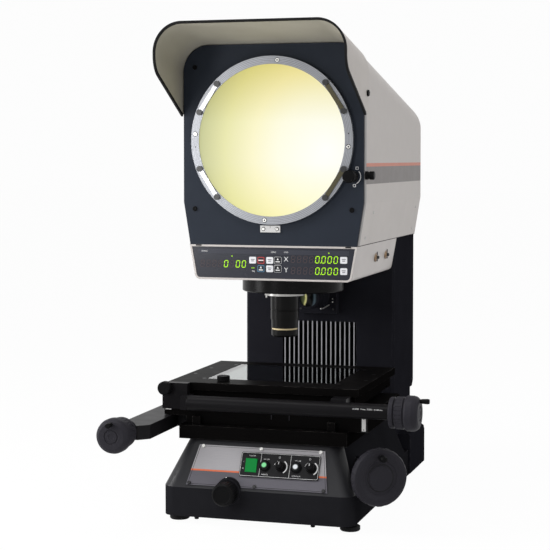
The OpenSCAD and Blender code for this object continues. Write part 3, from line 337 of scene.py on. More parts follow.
def ground_glass():
    """Screen that glows with the projected light: white at the right, yellow towards the left rim."""
    radius, reach = 153 * MM, 280 * MM
    brightest = SCREEN + Vector((115, 0, -20)) * MM
    glass = Finish("ground_glass", srgb(70, 70, 55), 0.5, specular=0.2)
    fade = glass.ranged(glass.distance(brightest, (1, 1, 1.1)), 0.0, 1.0, 0.0, reach)
    glow = glass.ramp(fade, [(0.0, srgb(255, 255, 255)), (0.36, srgb(254, 252, 232)),
                             (0.55, srgb(250, 245, 205)), (0.76, srgb(230, 228, 172)),
                             (1.0, srgb(182, 186, 138))])
    height = glass.ranged(glass.axis("Z"), 0.0, 1.0, SCREEN.z - radius, SCREEN.z + radius)
    tint = glass.ramp(height, [(0.0, srgb(255, 253, 226)), (0.35, srgb(255, 255, 255)),
                               (0.62, srgb(255, 255, 250)), (1.0, srgb(240, 230, 176))])
    glass.give("Emission Color", glass.mixed(1.0, glow, tint, "MULTIPLY"))
    glass.give("Emission Strength", 0.93)
    glass.grained(glass.noise(2500.0, 2.0), 0.1, 0.01)
    return glass


def lens_black():
    """Black anodised lens barrel with a cream ring in its lower groove and a bright flange."""
    black, cream, silver = srgb(10, 9, 9), srgb(214, 196, 156), srgb(172, 170, 168)
    groove_low, groove_top = lens_low.z + 14.2 * MM, lens_low.z + 17.8 * MM
    flange_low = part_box("lens_turret")[0].z - 5 * MM
    below, above = 0.3, 0.5
    barrel = Finish("lens_black", black, 0.3, specular=0.09)
    height = barrel.axis("Z")
    colours = [(below, black), (groove_low, cream), (groove_top, black), (flange_low, silver)]
    barrel.give("Base Color", barrel.banded(height, colours, above))
    barrel.give("Metallic", barrel.banded(height, [(below, grey(0)), (flange_low, grey(0.5))], above))
    barrel.grained(barrel.noise(1500.0, 2.0), 0.08, 0.02, barrel.rounded(0.5))
    return barrel


def control_print():
    """Control plate: brushed silver above an orange line, dark grey below it."""
    silver, orange, dark = srgb(158, 156, 159), srgb(216, 112, 76), srgb(94, 92, 99)
    below, line_low, line_top, above = 0.05, 104.5 * MM, 107.5 * MM, 0.2
    plate = Finish("control_print", silver, 0.5, specular=0.15)
    height = plate.axis("Z")
    colours = plate.banded(height, [(below, dark), (line_low, orange), (line_top, silver)], above)
    brushed = plate.noise(60.0, 3.0, plate.mapped(scale=(1.0, 0.02, 0.02)))
    shade = plate.ramp(brushed, [(0.35, grey(0.92)), (0.65, grey(1))])
    plate.give("Base Color", plate.mixed(1.0, colours, shade, "MULTIPLY"))
    plate.give("Metallic", plate.banded(height, [(below, grey(0)), (line_top, grey(0.25))], above))
    plate.grained(brushed, 0.05, 0.02, plate.rounded(0.3))
    return plate


def clear_glass():
    """Clear glass with faint smears."""
    glass = Finish("stage_glass", srgb(214, 232, 226), 0.0)
    glass.give("Transmission Weight", 1.0)
    glass.give("IOR", 1.5)
    glass.give("Roughness", glass.ranged(glass.noise(9.0, 5.0), 0.0, 0.035, 0.45, 0.75))
    return glass


def coated_glass():
    """Lens glass whose coating mirrors a pale green."""
    glass = Finish("coated_glass", srgb(20, 26, 30), 0.03, specular=1.0)
    glass.give("Coat Weight", 1.0)
    glass.give("Coat Roughness", 0.02)
    glass.give("Coat Tint", srgb(190, 225, 170))
    glass.give("Base Color", glass.shaded(0.3, 30.0))
    return glass


def grille_ribs():
    """Vent ribs: black paint with a pale stripe along the middle of every rib, a painted highlight of the
    rib's lit front.
    """
    pitch, highlight_half, soft = 10.7 * MM, 1.15 * MM, 0.2 * MM
    ribs = painted("grille_ribs", srgb(40, 40, 43), 0.5, grain=900.0, edge=0.6, specular=0.02)
    across = ribs.axis("X", ribs.mapped((OPTICAL_AXIS.x + pitch / 2, 0, 0)))
    # Painted highlight: the stripe down each rib's middle stands in for light on its front
    off_middle = ribs.maths("PINGPONG", across, pitch / 2)
    pale = ribs.ranged(off_middle, 1.0, 0.0, highlight_half - soft, highlight_half + soft)
    ribs.give("Base Color", ribs.mixed(pale, ribs.shaded(0.05), srgb(180, 180, 184)))
    return ribs


def lamp_lens():
    """The illuminator's front lens: olive coating, with a painted reflection in its colour: a pale crescent,
    and a blue glint at the right.
    """
    low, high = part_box("illuminator_lens")
    middle = (low + high) / 2
    centre = Vector((middle.x - 34 * MM, low.y, middle.z))
    inner, outer = 15 * MM, 55 * MM
    # The great stretch along y keeps depth out of the pattern
    stretch = (1, 1000, 1)
    glass = Finish("lamp_lens", srgb(12, 14, 16), 0.08, specular=0.12)
    # Painted reflection: the pale crescent and the blue glint at the right are light painted into the lens's
    # colour
    stops = [(0.0, srgb(50, 56, 36)), (0.26, srgb(92, 100, 62)), (0.30, srgb(214, 212, 132)),
             (0.38, srgb(232, 228, 160)), (0.42, srgb(10, 11, 12)), (0.72, srgb(10, 12, 14)),
             (0.84, srgb(96, 112, 122)), (0.95, srgb(16, 18, 20))]
    away = glass.ranged(glass.distance(centre, stretch), 0.0, 1.0, inner, outer)
    glass.give("Base Color", glass.ramp(away, stops))
    return glass


def lit(name, colour, strength):
    """A lamp-lit plastic or a display segment."""
    plastic = Finish(name, colour, 0.35, specular=0.1)
    glow = plastic.ramp(plastic.noise(300.0), [(0.3, scaled(colour, 0.9)), (0.7, colour)])
    plastic.give("Emission Color", glow)
    plastic.give("Emission Strength", strength)
    return plastic


def lit_button(name, colour, x):
    """A light button on the slope: a lit core in a dark moulded rim."""
    core_in, core_out = 4.4 * MM, 6.0 * MM
    button = Finish(name, srgb(30, 32, 32), 0.4, specular=0.1)
    middle = on_slope(x, CONTROL_S, BUTTON_FACE).translation
    rim = button.ranged(button.distance(middle), 0.0, 1.0, core_in, core_out)
    button.give("Emission Color", button.mixed(rim, colour, grey(0)))
    button.give("Emission Strength", 0.85)
    button.give("Base Color", button.shaded(0.1, 200.0))
    button.grained(button.noise(1500.0, 2.0), 0.08, 0.02, button.rounded(0.4))
    return button


def clip_steel(name, bar):
    """Chart clip: a metal bar whose two raised ends are black."""
    raised = at(0, RING_Y - 2.8, 0).y
    front, back = raised - 20 * MM, raised + 20 * MM
    clip = Finish(name, bar, 0.3, metallic=0.8)
    depth = clip.axis("Y")
    clip.give("Base Color", clip.banded(depth, [(front, srgb(24, 24, 24)), (raised, bar)], back))
    clip.give("Metallic", clip.banded(depth, [(front, grey(0)), (raised, grey(0.8))], back))
    clip.grained(clip.noise(900.0, 2.0), 0.06, 0.02, clip.rounded(0.4))
    return clip


FINISH = {
    # The pale edges of the base, the column, the stage and the feed arm are painted highlight; on the knobs,
    # the wheels and the feed tube they are wear
    "base": black_with_wear_and_highlight("base_paint", srgb(32, 32, 35), 0.5, srgb(92, 90, 96), 0.6, specular=0.0,
                       grain=1100.0, reach=2.4),
    "base_slope": black_with_wear_and_highlight("base_slope_paint", srgb(32, 32, 35), 0.42, srgb(96, 94, 100), 0.6,
                             specular=0.22, grain=1100.0, reach=2.4),
    "column": black_with_wear_and_highlight("column_paint", srgb(33, 33, 38), 0.6, srgb(112, 112, 120), 0.6, specular=0.0,
                         reach=1.8),
    "turret": painted("turret_black", srgb(12, 11, 12), 0.27, grain=900.0, depth=0.02, edge=0.8,
                      specular=0.08),
    "cover": cover_paint(),
    "counter": painted("counter_paint", srgb(190, 184, 181), 0.42, grain=600.0, depth=0.04, cloud=0.03,
                       edge=1.2),
    "hood": painted("hood_paint", srgb(190, 184, 179), 0.5, grain=600.0, depth=0.04, cloud=0.03, edge=0.6),
    # The hood's inside is a darker, olive copy of the hood's paint: painted shade
    "hood_inside": painted("hood_inside_painted_shade", srgb(162, 158, 147), 0.6, grain=600.0, depth=0.04, edge=0.6,
                           specular=0.2),
    "panel": painted("panel_paint", srgb(40, 45, 54), 0.45, grain=1300.0, depth=0.04, edge=0.5,
                     specular=0.08),
    "rim": painted("rim_paint", srgb(136, 133, 133), 0.45, edge=0.8),
    "ring": turned_metal("ring_silver", srgb(138, 140, 145), 0.3, SCREEN, "Y", metallic=0.45),
    "control": control_print(),
    "switch": painted("switch_panel_black", srgb(15, 15, 17), 0.35, grain=1500.0, depth=0.03, edge=0.4,
                      specular=0.15),
    "plastic": black_with_wear_and_highlight("moulded_black", srgb(14, 14, 15), 0.42, srgb(70, 70, 73), 0.35, specular=0.05),
    "wheel": black_with_wear_and_highlight("wheel_grey", srgb(42, 41, 46), 0.48, srgb(110, 109, 114), 0.4, specular=0.06),
    "rubber": painted("rubber_black", srgb(18, 18, 19), 0.65, grain=500.0, depth=0.08, specular=0.12),
    "screen": ground_glass(),
    "clear": clear_glass(),
    "coated": coated_glass(),
    "mirror": Finish("mirror_silver", srgb(235, 238, 240), 0.02, metallic=1.0),
    "grille": grille_ribs(),
    "lamp_lens": lamp_lens(),
    "stage": black_with_wear_and_highlight("stage_black", srgb(13, 12, 12), 0.34, srgb(118, 114, 112), 0.8, specular=0.005,
                        grain=1200.0, reach=1.2),
    "stage_edge": black_with_wear_and_highlight("stage_edge_black", srgb(14, 13, 13), 0.6, srgb(110, 106, 104), 0.6,
                             specular=0.0, grain=1200.0, reach=1.2),
    "arm": black_with_wear_and_highlight("arm_black", srgb(24, 23, 25), 0.38, srgb(110, 106, 104), 0.6, specular=0.07,
                      grain=1200.0, reach=1.2),
    "tube": black_with_wear_and_highlight("tube_grey", srgb(17, 16, 18), 0.36, srgb(96, 94, 96), 0.4, specular=0.06),
    "clip": clip_steel("clip_bright", srgb(176, 176, 178)),
    # Clips 1 and 4 take a darker, olive copy of the clip steel: painted shade
    "shaded_clip": clip_steel("clip_painted_shade", srgb(74, 70, 54)),
    "brass": turned_metal("gear_brass", srgb(190, 150, 80), 0.35, OPTICAL_AXIS, "Z"),
    "bronze": turned_metal("adjuster_bronze", srgb(134, 112, 88), 0.4, OPTICAL_AXIS, "Z", metallic=0.6),
    "casting": painted("bare_casting", srgb(150, 150, 150), 0.6, grain=300.0, depth=0.2),
    "rocker": lit("rocker_green", srgb(0, 116, 48), 0.2),
    "green_button": lit_button("button_green_lit", srgb(140, 240, 165), BUTTON_X[0]),
    "white_button": lit_button("button_white_lit", srgb(238, 242, 246), BUTTON_X[1]),
    "display": painted("smoked_window", srgb(38, 40, 49), 0.25, grain=1500.0, depth=0.01, edge=0.4,
                       specular=0.25),
    "strip": painted("display_strip", srgb(48, 50, 60), 0.3, grain=1500.0, depth=0.01, specular=0.25),
    "lens": lens_black(),
    "digit": lit("digit_green", srgb(150, 204, 24), 0.85),
    "ghost": painted("digit_unlit", srgb(74, 64, 66), 0.4, specular=0.1),
    "print": ink("white_print", srgb(235, 235, 235)),
    "legend": ink("grey_print", srgb(120, 120, 126)),
    "key_white": key_paint("key_white", srgb(224, 224, 228)),
    "key_red": key_paint("key_red", srgb(168, 44, 46)),
    "key_blue": key_paint("key_blue", srgb(70, 118, 148)),
    "key_black": key_paint("key_black", srgb(28, 29, 35), specular=0.2),
    "bright": turned_metal("bright_steel", srgb(205, 204, 201), 0.28, OPTICAL_AXIS, "Z"),
    "dark_screw": turned_metal("blackened_steel", srgb(26, 26, 28), 0.4, OPTICAL_AXIS, "Z", metallic=0.3),
    "satin": turned_metal("satin_plate", srgb(186, 185, 184), 0.4, SCREEN, "Y", metallic=0.5),
}
NODE_FINISH = {
    "base": ["base_casting"],
    "column": ["column_casting", "column_rear_cover", "lamp_cover", "illuminator_housing"],
    "turret": ["lens_turret"],
    "cover": ["head_cover"],
    "counter": ["counter_housing"],
    "hood": ["hood"],
    "panel": ["front_panel"],
    "rim": ["front_frame"],
    "ring": ["screen_ring"],
    "control": ["control_panel"],
    "switch": ["switch_panel"],
    "plastic": ["surface_dimmer_knob", "contour_dimmer_knob", "iris_knob", "mains_inlet", "hood_screws",
                "fine_turn_knob", "screen_clamp_knob", "z_crank_handle", "y_crank_handle", "x_crank_handle",
                "stage_thumb_screw", "stage_lock_knob"],
    "wheel": ["z_handwheel", "y_handwheel", "x_handwheel"],
    "rubber": ["hood_edging", "levelling_feet"],
    "screen": ["screen_glass"],
    "clear": ["stage_glass", "contour_lamp"],
    "coated": ["condenser_lens", "lens_glass"],
    "lamp_lens": ["illuminator_lens"],
    "mirror": ["lower_mirror", "first_mirror", "main_mirror"],
    "grille": ["vent_grille"],
    "stage": ["z_table", "y_carriage", "x_table"],
    "arm": ["feed_arm"],
    "tube": ["x_feed_tube"],
    "clip": ["chart_clip_2", "chart_clip_3"],
    # Clips 1 and 4 take the darker copy of the clip steel, painted shade
    "shaded_clip": ["chart_clip_1", "chart_clip_4"],
    "bright": ["z_screw"],
    "brass": ["z_nut_gear"],
    "casting": ["base_bottom_plate", "head_casting", "screen_retainer"],
    "rocker": ["power_rocker"],
    "green_button": ["surface_light_button"],
    "white_button": ["contour_light_button"],
    "display": ["display_panel"],
    "lens": ["lens_barrel"],
}
for finish_name, node_names in NODE_FINISH.items():
    for node_name in node_names:
        node_mesh = NODES[node_name].data
        node_mesh.materials.clear()
        node_mesh.materials.append(FINISH[finish_name].material)


def paint_faces(node_name, finish_name, chosen):
    """Gives the faces of a node that a rule chooses another finish."""
    mesh = NODES[node_name].data
    mesh.materials.append(FINISH[finish_name].material)
    for face in mesh.polygons:
        if chosen(face):
            face.material_index = 1


HOOD_MIDDLE = at(0, 0, 850)


def looks_inwards(face):
    """Whether a face of the hood looks at the hood's own middle, as seen from the front."""
    away = face.center - HOOD_MIDDLE
    away.y = 0
    return face.normal.dot(away.normalized()) < -0.1


# The hood's inside is painted shade, a darker copy of its paint; the stage's milled ends are matt, and the
# base's slope shines more than its sides
paint_faces("hood", "hood_inside", looks_inwards)
for stage_plate in NODE_FINISH["stage"]:
    paint_faces(stage_plate, "stage_edge", lambda face: abs(face.normal.x) > 0.7)
paint_faces("base_casting", "base_slope", lambda face: face.normal.y < -0.1 and face.normal.z > 0.15)


# Mesh helpers
def put(name, data):
    """An object with the given data, in the scene."""
    made = bpy.data.objects.new(name, data)
    bpy.context.scene.collection.objects.link(made)
    return made


def evaluated_mesh(holder):
    """The plain mesh that a text or a modifier comes to."""
    return bpy.data.meshes.new_from_object(holder.evaluated_get(bpy.context.evaluated_depsgraph_get()))


def piece(name, mesh, finish, body):
    """A finished mesh as a piece that rides on a body."""
    mesh.materials.clear()
    mesh.materials.append(FINISH[finish].material)
    made = put(name, mesh)
    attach(made, body)


SMOOTH_ANGLE = math.radians(35)


def mesh_from(name, build, smooth=False, **given):
    """A mesh from a function that fills a bmesh with what else is given, its round faces smooth if asked."""
    work = bmesh.new()
    build(work, **given)
    bmesh.ops.remove_doubles(work, verts=work.verts, dist=1e-7)
    bmesh.ops.recalc_face_normals(work, faces=work.faces)
    mesh = bpy.data.meshes.new(name)
    work.to_mesh(mesh)
    work.free()
    if smooth:
        mesh.shade_smooth()
        mesh.set_sharp_from_angle(angle=SMOOTH_ANGLE)
    return mesh


def drawn(name, build, finish, body, slot, **given):
    """A piece whose mesh a function fills."""
    piece(name, mesh_from(name, build, **given), finish, body)


def on_circle(radius, turn):
    """The point of a circle at an angle in radians."""
    return (radius * math.cos(turn), radius * math.sin(turn))


def round_outline(width, height, radius, steps=6):
    """A rectangle with round corners, as points in millimetres."""
    points = []
    for side_x, side_y, first in ((1, 1, 0), (-1, 1, 90), (-1, -1, 180), (1, -1, 270)):
        for k in range(steps + 1):
            x, y = on_circle(radius, math.radians(first + 90 * k / steps))
            points.append((side_x * (width / 2 - radius) + x, side_y * (height / 2 - radius) + y))
    return points


def disc_outline(radius, steps=24):
    """A round outline, as points in millimetres."""
    return [on_circle(radius, 2 * math.pi * k / steps) for k in range(steps)]


def arc_outline(radius, width, start, end):
    """A band along an arc between two angles in degrees, as points in millimetres."""
    steps = 24
    turns = [math.radians(start + (end - start) * k / steps) for k in range(steps + 1)]
    outer = [on_circle(radius + width / 2, turn) for turn in turns]
    inner = [on_circle(radius - width / 2, turn) for turn in reversed(turns)]
    return outer + inner


def add_plate(work, outline, thickness, place, bevel=0.0):
    """An outline in millimetres made a closed plate on a face."""
    low = [work.verts.new(place @ Vector((x * MM, y * MM, 0))) for x, y in outline]
    base = work.faces.new(low)
    grown = bmesh.ops.extrude_face_region(work, geom=[base])["geom"]
    top = [v for v in grown if isinstance(v, bmesh.types.BMVert)]
    out = place.to_3x3() @ Vector((0, 0, thickness * MM))
    bmesh.ops.translate(work, verts=top, vec=out)
    if bevel:
        edges = list(next(f for f in grown if isinstance(f, bmesh.types.BMFace)).edges)
        bmesh.ops.bevel(work, geom=edges, offset=bevel * MM, segments=2, affect="EDGES", profile=0.6)


def add_frame(work, outer, inner, thickness, place):
    """The closed strip between two outlines of as many points."""
    levels = []
    for out in (0, thickness):
        for outline in (outer, inner):
            levels.append([work.verts.new(place @ Vector((x * MM, y * MM, out * MM))) for x, y in outline])
    count = len(outer)
    for first, second in ((0, 1), (1, 3), (3, 2), (2, 0)):
        for k in range(count):
            n = (k + 1) % count
            work.faces.new((levels[first][k], levels[first][n], levels[second][n], levels[second][k]))


def add_lathe(work, profile, place, steps=32):
    """A profile of (radius, height) in millimetres turned about the face's normal."""
    rings = []
    for radius, height in profile:
        outline = disc_outline(radius, steps) if radius else [(0, 0)]
        rings.append([work.verts.new(place @ (Vector((x, y, height)) * MM)) for x, y in outline])
    for low, high in zip(rings, rings[1:]):
        for k in range(steps):
            n = (k + 1) % steps
            corners = [low[k % len(low)], low[n % len(low)], high[n % len(high)], high[k % len(high)]]
            unique = list(dict.fromkeys(corners))
            if len(unique) > 2:
                work.faces.new(unique)


LETTER_HALF = 0.05
CAPITAL_SHARE = 0.7


def add_words(work, text, height, place):
    """Letters of the given height in millimetres, centred on the place and half sunk in it."""
    curve = bpy.data.curves.new("words", "FONT")
    curve.body = text
    curve.size = height / CAPITAL_SHARE * MM
    curve.extrude = LETTER_HALF * MM
    curve.align_x, curve.align_y = "CENTER", "CENTER"
    holder = put("words", curve)
    letters = evaluated_mesh(holder)
    letters.transform(place)
    work.from_mesh(letters)
    bpy.data.objects.remove(holder)
    bpy.data.meshes.remove(letters)
    bpy.data.curves.remove(curve)


# Geometry Nodes: screws on points
def add_socket(tree, name, kind, way="INPUT"):
    return tree.interface.new_socket(name, in_out=way, socket_type=kind).identifier


def screw_tree():
    """Puts a screw with a hexagon socket on every point, along the point's own facing."""
    head_sides, socket_sides, top_share, socket_lift = 24, 6, 0.86, 0.45
    tree = bpy.data.node_groups.new("screws_on_points", "GeometryNodeTree")
    add_socket(tree, "Points", "NodeSocketGeometry")
    ids = {"radius": add_socket(tree, "Head radius", "NodeSocketFloat"),
           "height": add_socket(tree, "Head height", "NodeSocketFloat"),
           "socket": add_socket(tree, "Socket radius", "NodeSocketFloat"),
           "finish": add_socket(tree, "Finish", "NodeSocketMaterial")}
    add_socket(tree, "Screws", "NodeSocketGeometry", "OUTPUT")

    def node(kind, feeds=None, **settings):
        return add_node(tree, kind, feeds, **settings).outputs

    given = node("NodeGroupInput")
    radius, height = given["Head radius"], given["Head height"]
    top_radius = node("ShaderNodeMath", {0: radius, 1: top_share}, operation="MULTIPLY")["Value"]
    head = node("GeometryNodeMeshCone", {"Vertices": head_sides, "Radius Top": top_radius,
                                         "Radius Bottom": radius, "Depth": height})["Mesh"]
    recess = node("GeometryNodeMeshCylinder", {"Vertices": socket_sides, "Radius": given["Socket radius"],
                                               "Depth": height})["Mesh"]
    rise = node("ShaderNodeMath", {0: height, 1: socket_lift}, operation="MULTIPLY")["Value"]
    lift = node("ShaderNodeCombineXYZ", {"Z": rise})["Vector"]
    lifted = node("GeometryNodeTransform", {"Geometry": recess, "Translation": lift})["Geometry"]
    screw = node("GeometryNodeMeshBoolean", {"Mesh 1": head, "Mesh 2": lifted},
                 operation="DIFFERENCE")["Mesh"]
    facing = node("GeometryNodeInputNamedAttribute", {"Name": "facing"},
                  data_type="FLOAT_VECTOR")["Attribute"]
    aim = node("FunctionNodeAlignRotationToVector", {"Vector": facing}, axis="Z")["Rotation"]
    turn = node("FunctionNodeRandomValue", {"Min": (0, 0, 0), "Max": (0, 0, math.pi / 3), "Seed": 4},
                data_type="FLOAT_VECTOR")["Value"]
    spun = node("FunctionNodeRotateRotation", {"Rotation": aim, "Rotate By": turn},
                rotation_space="LOCAL")["Rotation"]
    copies = node("GeometryNodeInstanceOnPoints", {"Points": given["Points"], "Instance": screw,
                                                   "Rotation": spun})["Instances"]
    real = node("GeometryNodeRealizeInstances", {"Geometry": copies})["Geometry"]
    finished = node("GeometryNodeSetMaterial", {"Geometry": real, "Material": given["Finish"]})["Geometry"]
    node("NodeGroupOutput", {"Screws": finished})
    return tree, ids


SCREWS, SCREW_INPUT = screw_tree()


def screws(name, places, finish, body, slot, radius, height, socket):
    """A group of equal screws, each on its own place matrix, with the head's sizes in millimetres."""
    seeds = bpy.data.meshes.new(name)
    seeds.from_pydata([place.translation for place in places], [], [])
    facing = seeds.attributes.new("facing", "FLOAT_VECTOR", "POINT")
    for k, place in enumerate(places):
        facing.data[k].vector = place.to_3x3() @ UP
    holder = put(name, seeds)
    modifier = holder.modifiers.new("screws", "NODES")
    modifier.node_group = SCREWS
    for key, size in (("radius", radius), ("height", height), ("socket", socket)):
        modifier[SCREW_INPUT[key]] = size * MM
    modifier[SCREW_INPUT["finish"]] = FINISH[finish].material
    mesh = evaluated_mesh(holder)
    bpy.data.objects.remove(holder)
    mesh.name = name
    piece(name, mesh, finish, body)


# Display: seven-bar digits, keys and letters
DIGIT_W, DIGIT_H, DIGIT_T, SLANT = 8.6, 14.6, 0.12, 0.12
BAR, BAR_GAP = 1.5, 0.35
CELLS, CELL_PITCH = 8, 12.65
# Each row's first cell, its height and the cells that show a nought
ROWS = {"angle": (-149.0, 511.6, (4, 6, 7)), "x_axis": (43.6, 523.2, (4, 5, 6, 7)),
        "y_axis": (43.6, 500.4, (4, 5, 6, 7))}
NOUGHT_BARS = 6
DOT_W, DOT_R, DOT_RISE = 1.9, 0.9, 1.0
DOT_AFTER, DOTTED_ROWS = 4, ("x_axis", "y_axis")


def bar_outline(x0, y0, x1, y1):
    """One pointed bar of a digit between two points, leaning with the digit."""
    along = Vector((x1 - x0, y1 - y0)).normalized()
    across = Vector((-along.y, along.x)) * BAR / 2
    start, end = Vector((x0, y0)) + along * BAR_GAP, Vector((x1, y1)) - along * BAR_GAP
    tip = along * BAR / 2
    points = [start, start + tip + across, end - tip + across, end, end - tip - across, start + tip - across]
    return [(p.x + SLANT * p.y, p.y) for p in points]


def digit_bars():
    """The seven bars of a digit about its centre, the middle bar last."""
    x, y = (DIGIT_W - BAR) / 2, (DIGIT_H - BAR) / 2
    ends = [(-x, y, x, y), (x, 0, x, y), (x, -y, x, 0), (-x, -y, x, -y), (-x, -y, -x, 0), (-x, 0, -x, y),
            (-x, 0, x, 0)]
    return [bar_outline(*end) for end in ends]


def add_digits(work, lit_bars):
    """All lit bars, or all bars left dark, of the three rows of digits."""
    for row, (first_x, z, lit_cells) in ROWS.items():
        for cell in range(CELLS):
            place = on_front(first_x + CELL_PITCH * cell, z, DISPLAY_Y)
            for k, bar in enumerate(digit_bars()):
                shines = cell in lit_cells and k < NOUGHT_BARS
                if shines == lit_bars:
                    add_plate(work, bar, DIGIT_T, place)
        if lit_bars and row in DOTTED_ROWS:
            x = first_x + CELL_PITCH * (DOT_AFTER + 0.5)
            place = on_front(x, z - DIGIT_H / 2 + DOT_RISE, DISPLAY_Y)
            add_plate(work, round_outline(DOT_W, DOT_W, DOT_R, 4), DIGIT_T, place)


drawn("digits_lit", add_digits, "digit", "frame", "display", lit_bars=True)
drawn("digits_dark", add_digits, "ghost", "frame", "display", lit_bars=False)

KEYS = {
    "key_white": [(-41.7, 519.9), (-5.6, 520.0), (-5.6, 503.0), (148.5, 523.0), (148.5, 500.5)],
    "key_red": [(-24.1, 519.8)],
    "key_blue": [(-24.1, 503.0)],
    "key_black": [(11.4, 520.2), (11.4, 503.2)],
}
KEY_W, KEY_H, KEY_R, KEY_T, KEY_BEVEL = 14.6, 13.6, 2.2, 0.5, 0.25
KEY_RIM, KEY_RIM_T = 0.6, 0.15
INK_T = 0.08
KEY_FACE = DISPLAY_Y - KEY_T
STRIP_W, STRIP_H, STRIP_Z = 318, 9.6, 536.8
STRIP_FACE = DISPLAY_Y - 2 * INK_T
ARROW = [(-2.2, 0.6), (2.2, 0.6), (0.4, 4.4), (-0.4, 4.4)]
ARROW_FOOT = [(-4.4, -3.6), (4.4, -3.6), (4.4, -1.7), (-4.4, -1.7)]


def add_keys(work, places):
    for x, z in places:
        add_plate(work, round_outline(KEY_W, KEY_H, KEY_R), KEY_T, on_front(x, z, DISPLAY_Y), KEY_BEVEL)


for key_finish, key_places in KEYS.items():
    drawn(key_finish + "_keys", add_keys, key_finish, "frame", "display", places=key_places)


def add_key_centres(work):
    """The dark fields inside the red and the blue key."""
    for x, z in KEYS["key_red"]:
        for step in (-3.3, 3.3):
            add_plate(work, round_outline(11.4, 3.6, 0.6), INK_T, on_front(x, z + step, KEY_FACE))
    for x, z in KEYS["key_blue"]:
        add_plate(work, round_outline(12.2, 11.2, 1.6), INK_T, on_front(x, z, KEY_FACE))


drawn("key_centres", add_key_centres, "key_black", "frame", "display")


def add_key_legends(work):
    """Grey lines that stand for the small legends on the white keys."""
    for x, z in KEYS["key_white"]:
        for width, step in ((8.4, 1.6), (6.0, -1.6)):
            add_plate(work, round_outline(width, 1.7, 0.5), INK_T, on_front(x, z + step, KEY_FACE))


drawn("key_legends", add_key_legends, "legend", "frame", "display")


def add_display_strip(work):
    add_plate(work, round_outline(STRIP_W, STRIP_H, 0.8), INK_T, on_front(0, STRIP_Z, DISPLAY_Y))


drawn("display_strip", add_display_strip, "strip", "frame", "display")


def add_display_print(work):
    """White outlines round the dark keys, signs on them, axis letters and small labels."""
    inner = round_outline(KEY_W, KEY_H, KEY_R)
    outer = round_outline(KEY_W + 2 * KEY_RIM, KEY_H + 2 * KEY_RIM, KEY_R + KEY_RIM)
    for x, z in KEYS["key_black"]:
        add_frame(work, outer, inner, KEY_RIM_T, on_front(x, z, DISPLAY_Y))
    for x, z in KEYS["key_black"] + KEYS["key_blue"]:
        for sign in (ARROW, ARROW_FOOT):
            add_plate(work, sign, INK_T, on_front(x, z, KEY_FACE - INK_T))
    for x, z in KEYS["key_red"]:
        add_plate(work, round_outline(10.8, 1.9, 0.5), INK_T, on_front(x, z, KEY_FACE))
    for letter, z in (("X", 522.5), ("Y", 500.8)):
        add_words(work, letter, 9.5, on_front(28.8, z, DISPLAY_Y - INK_T))
    for text, x, z in (("ANGLE", -145, STRIP_Z), ("ZERO", 2.4, STRIP_Z), ("AXIS", 28.8, STRIP_Z),
                       ("deg", -40.5, 498.0)):
        add_words(work, text, 3.0, on_front(x, z, STRIP_FACE))


drawn("display_print", add_display_print, "print", "frame", "display")


def add_signal_lights(work):
    """The two small signal lights above the digits and the lit unit sign."""
    for x, z in ((117.7, STRIP_Z), (-85.7, 527.3)):
        add_plate(work, disc_outline(1.2, 16), INK_T, on_front(x, z, STRIP_FACE))
    add_words(work, "mm", 3.2, on_front(-41.2, 504.4, STRIP_FACE))


drawn("signal_lights", add_signal_lights, "digit", "frame", "display")

# Front panel: index plate, knob marks, ring and panel screws
INDEX_X, INDEX_Z, INDEX_W, INDEX_H, INDEX_T = -3.7, 583.6, 42.0, 14.0, 2.0
INDEX_FACE = PANEL_Y - INDEX_T
INDEX_SCREW_X, INDEX_SCREW_R = 14.2, 3.4


def add_index_plate(work):
    add_plate(work, round_outline(INDEX_W, INDEX_H, 1.0), INDEX_T, on_front(INDEX_X, INDEX_Z, PANEL_Y), 0.4)


def add_index_line(work):
    place = on_front(INDEX_X, INDEX_Z + INDEX_H / 2 - 3, INDEX_FACE)
    add_plate(work, round_outline(0.8, 5.0, 0.3), INK_T, place)


drawn("index_plate", add_index_plate, "satin", "frame", "silver")
drawn("index_line", add_index_line, "switch", "frame", "black_plastic")
index_places = [on_front(INDEX_X + side * INDEX_SCREW_X, INDEX_Z, INDEX_FACE) for side in (-1, 1)]
screws("index_screws", index_places, "bright", "frame", "steel",
       radius=INDEX_SCREW_R, height=1.6, socket=1.6)
panel_places = [on_front(x, z, PANEL_Y) for x in (-165, 165) for z in (623, 911)]
screws("panel_screws", panel_places, "plastic", "frame", "panel_black", radius=5.2, height=2.0, socket=2.4)
PRINT_T = 0.1
MARK_ARC_R, MARK_R = 16.0, 18.5


def add_knob_marks(work):
    """White arc with its two end marks beside the fine turning knob."""
    knob = measured(joint_point("fine_knob_turn"))
    add_plate(work, arc_outline(MARK_ARC_R, 1.6, -62, 40), PRINT_T, on_front(knob.x, knob.z, PANEL_Y))
    for turn in (-80, 62):
        x, z = on_circle(MARK_R, math.radians(turn))
        add_frame(work, round_outline(6, 6, 1.5), round_outline(4, 4, 1.0), PRINT_T,
                  on_front(knob.x + x, knob.z + z, PANEL_Y))


drawn("knob_marks", add_knob_marks, "print", "frame", "panel_black")
RING_SCREW_TURN, RING_SCREWS_R, RING_SCREW_R = -4.7, 161.0, 4.2


def on_ring(turn):
    """Lays a drawing on the screen's ring, on the circle of its screws at an angle in degrees."""
    middle = measured(SCREEN)
    x, z = on_circle(RING_SCREWS_R, math.radians(turn))
    return on_front(middle.x + x, middle.z + z, RING_Y)


ring_places = [on_ring(RING_SCREW_TURN + 90 * k) for k in range(4)]
screws("ring_screws", ring_places, "bright", "screen", "silver", radius=RING_SCREW_R, height=0.8, socket=1.7)
SCREW_SHADE_W, RIM_T, SOCKET_SHADE_R, SOCKET_SHADE_T = 0.8, 0.06, 1.7, 0.9


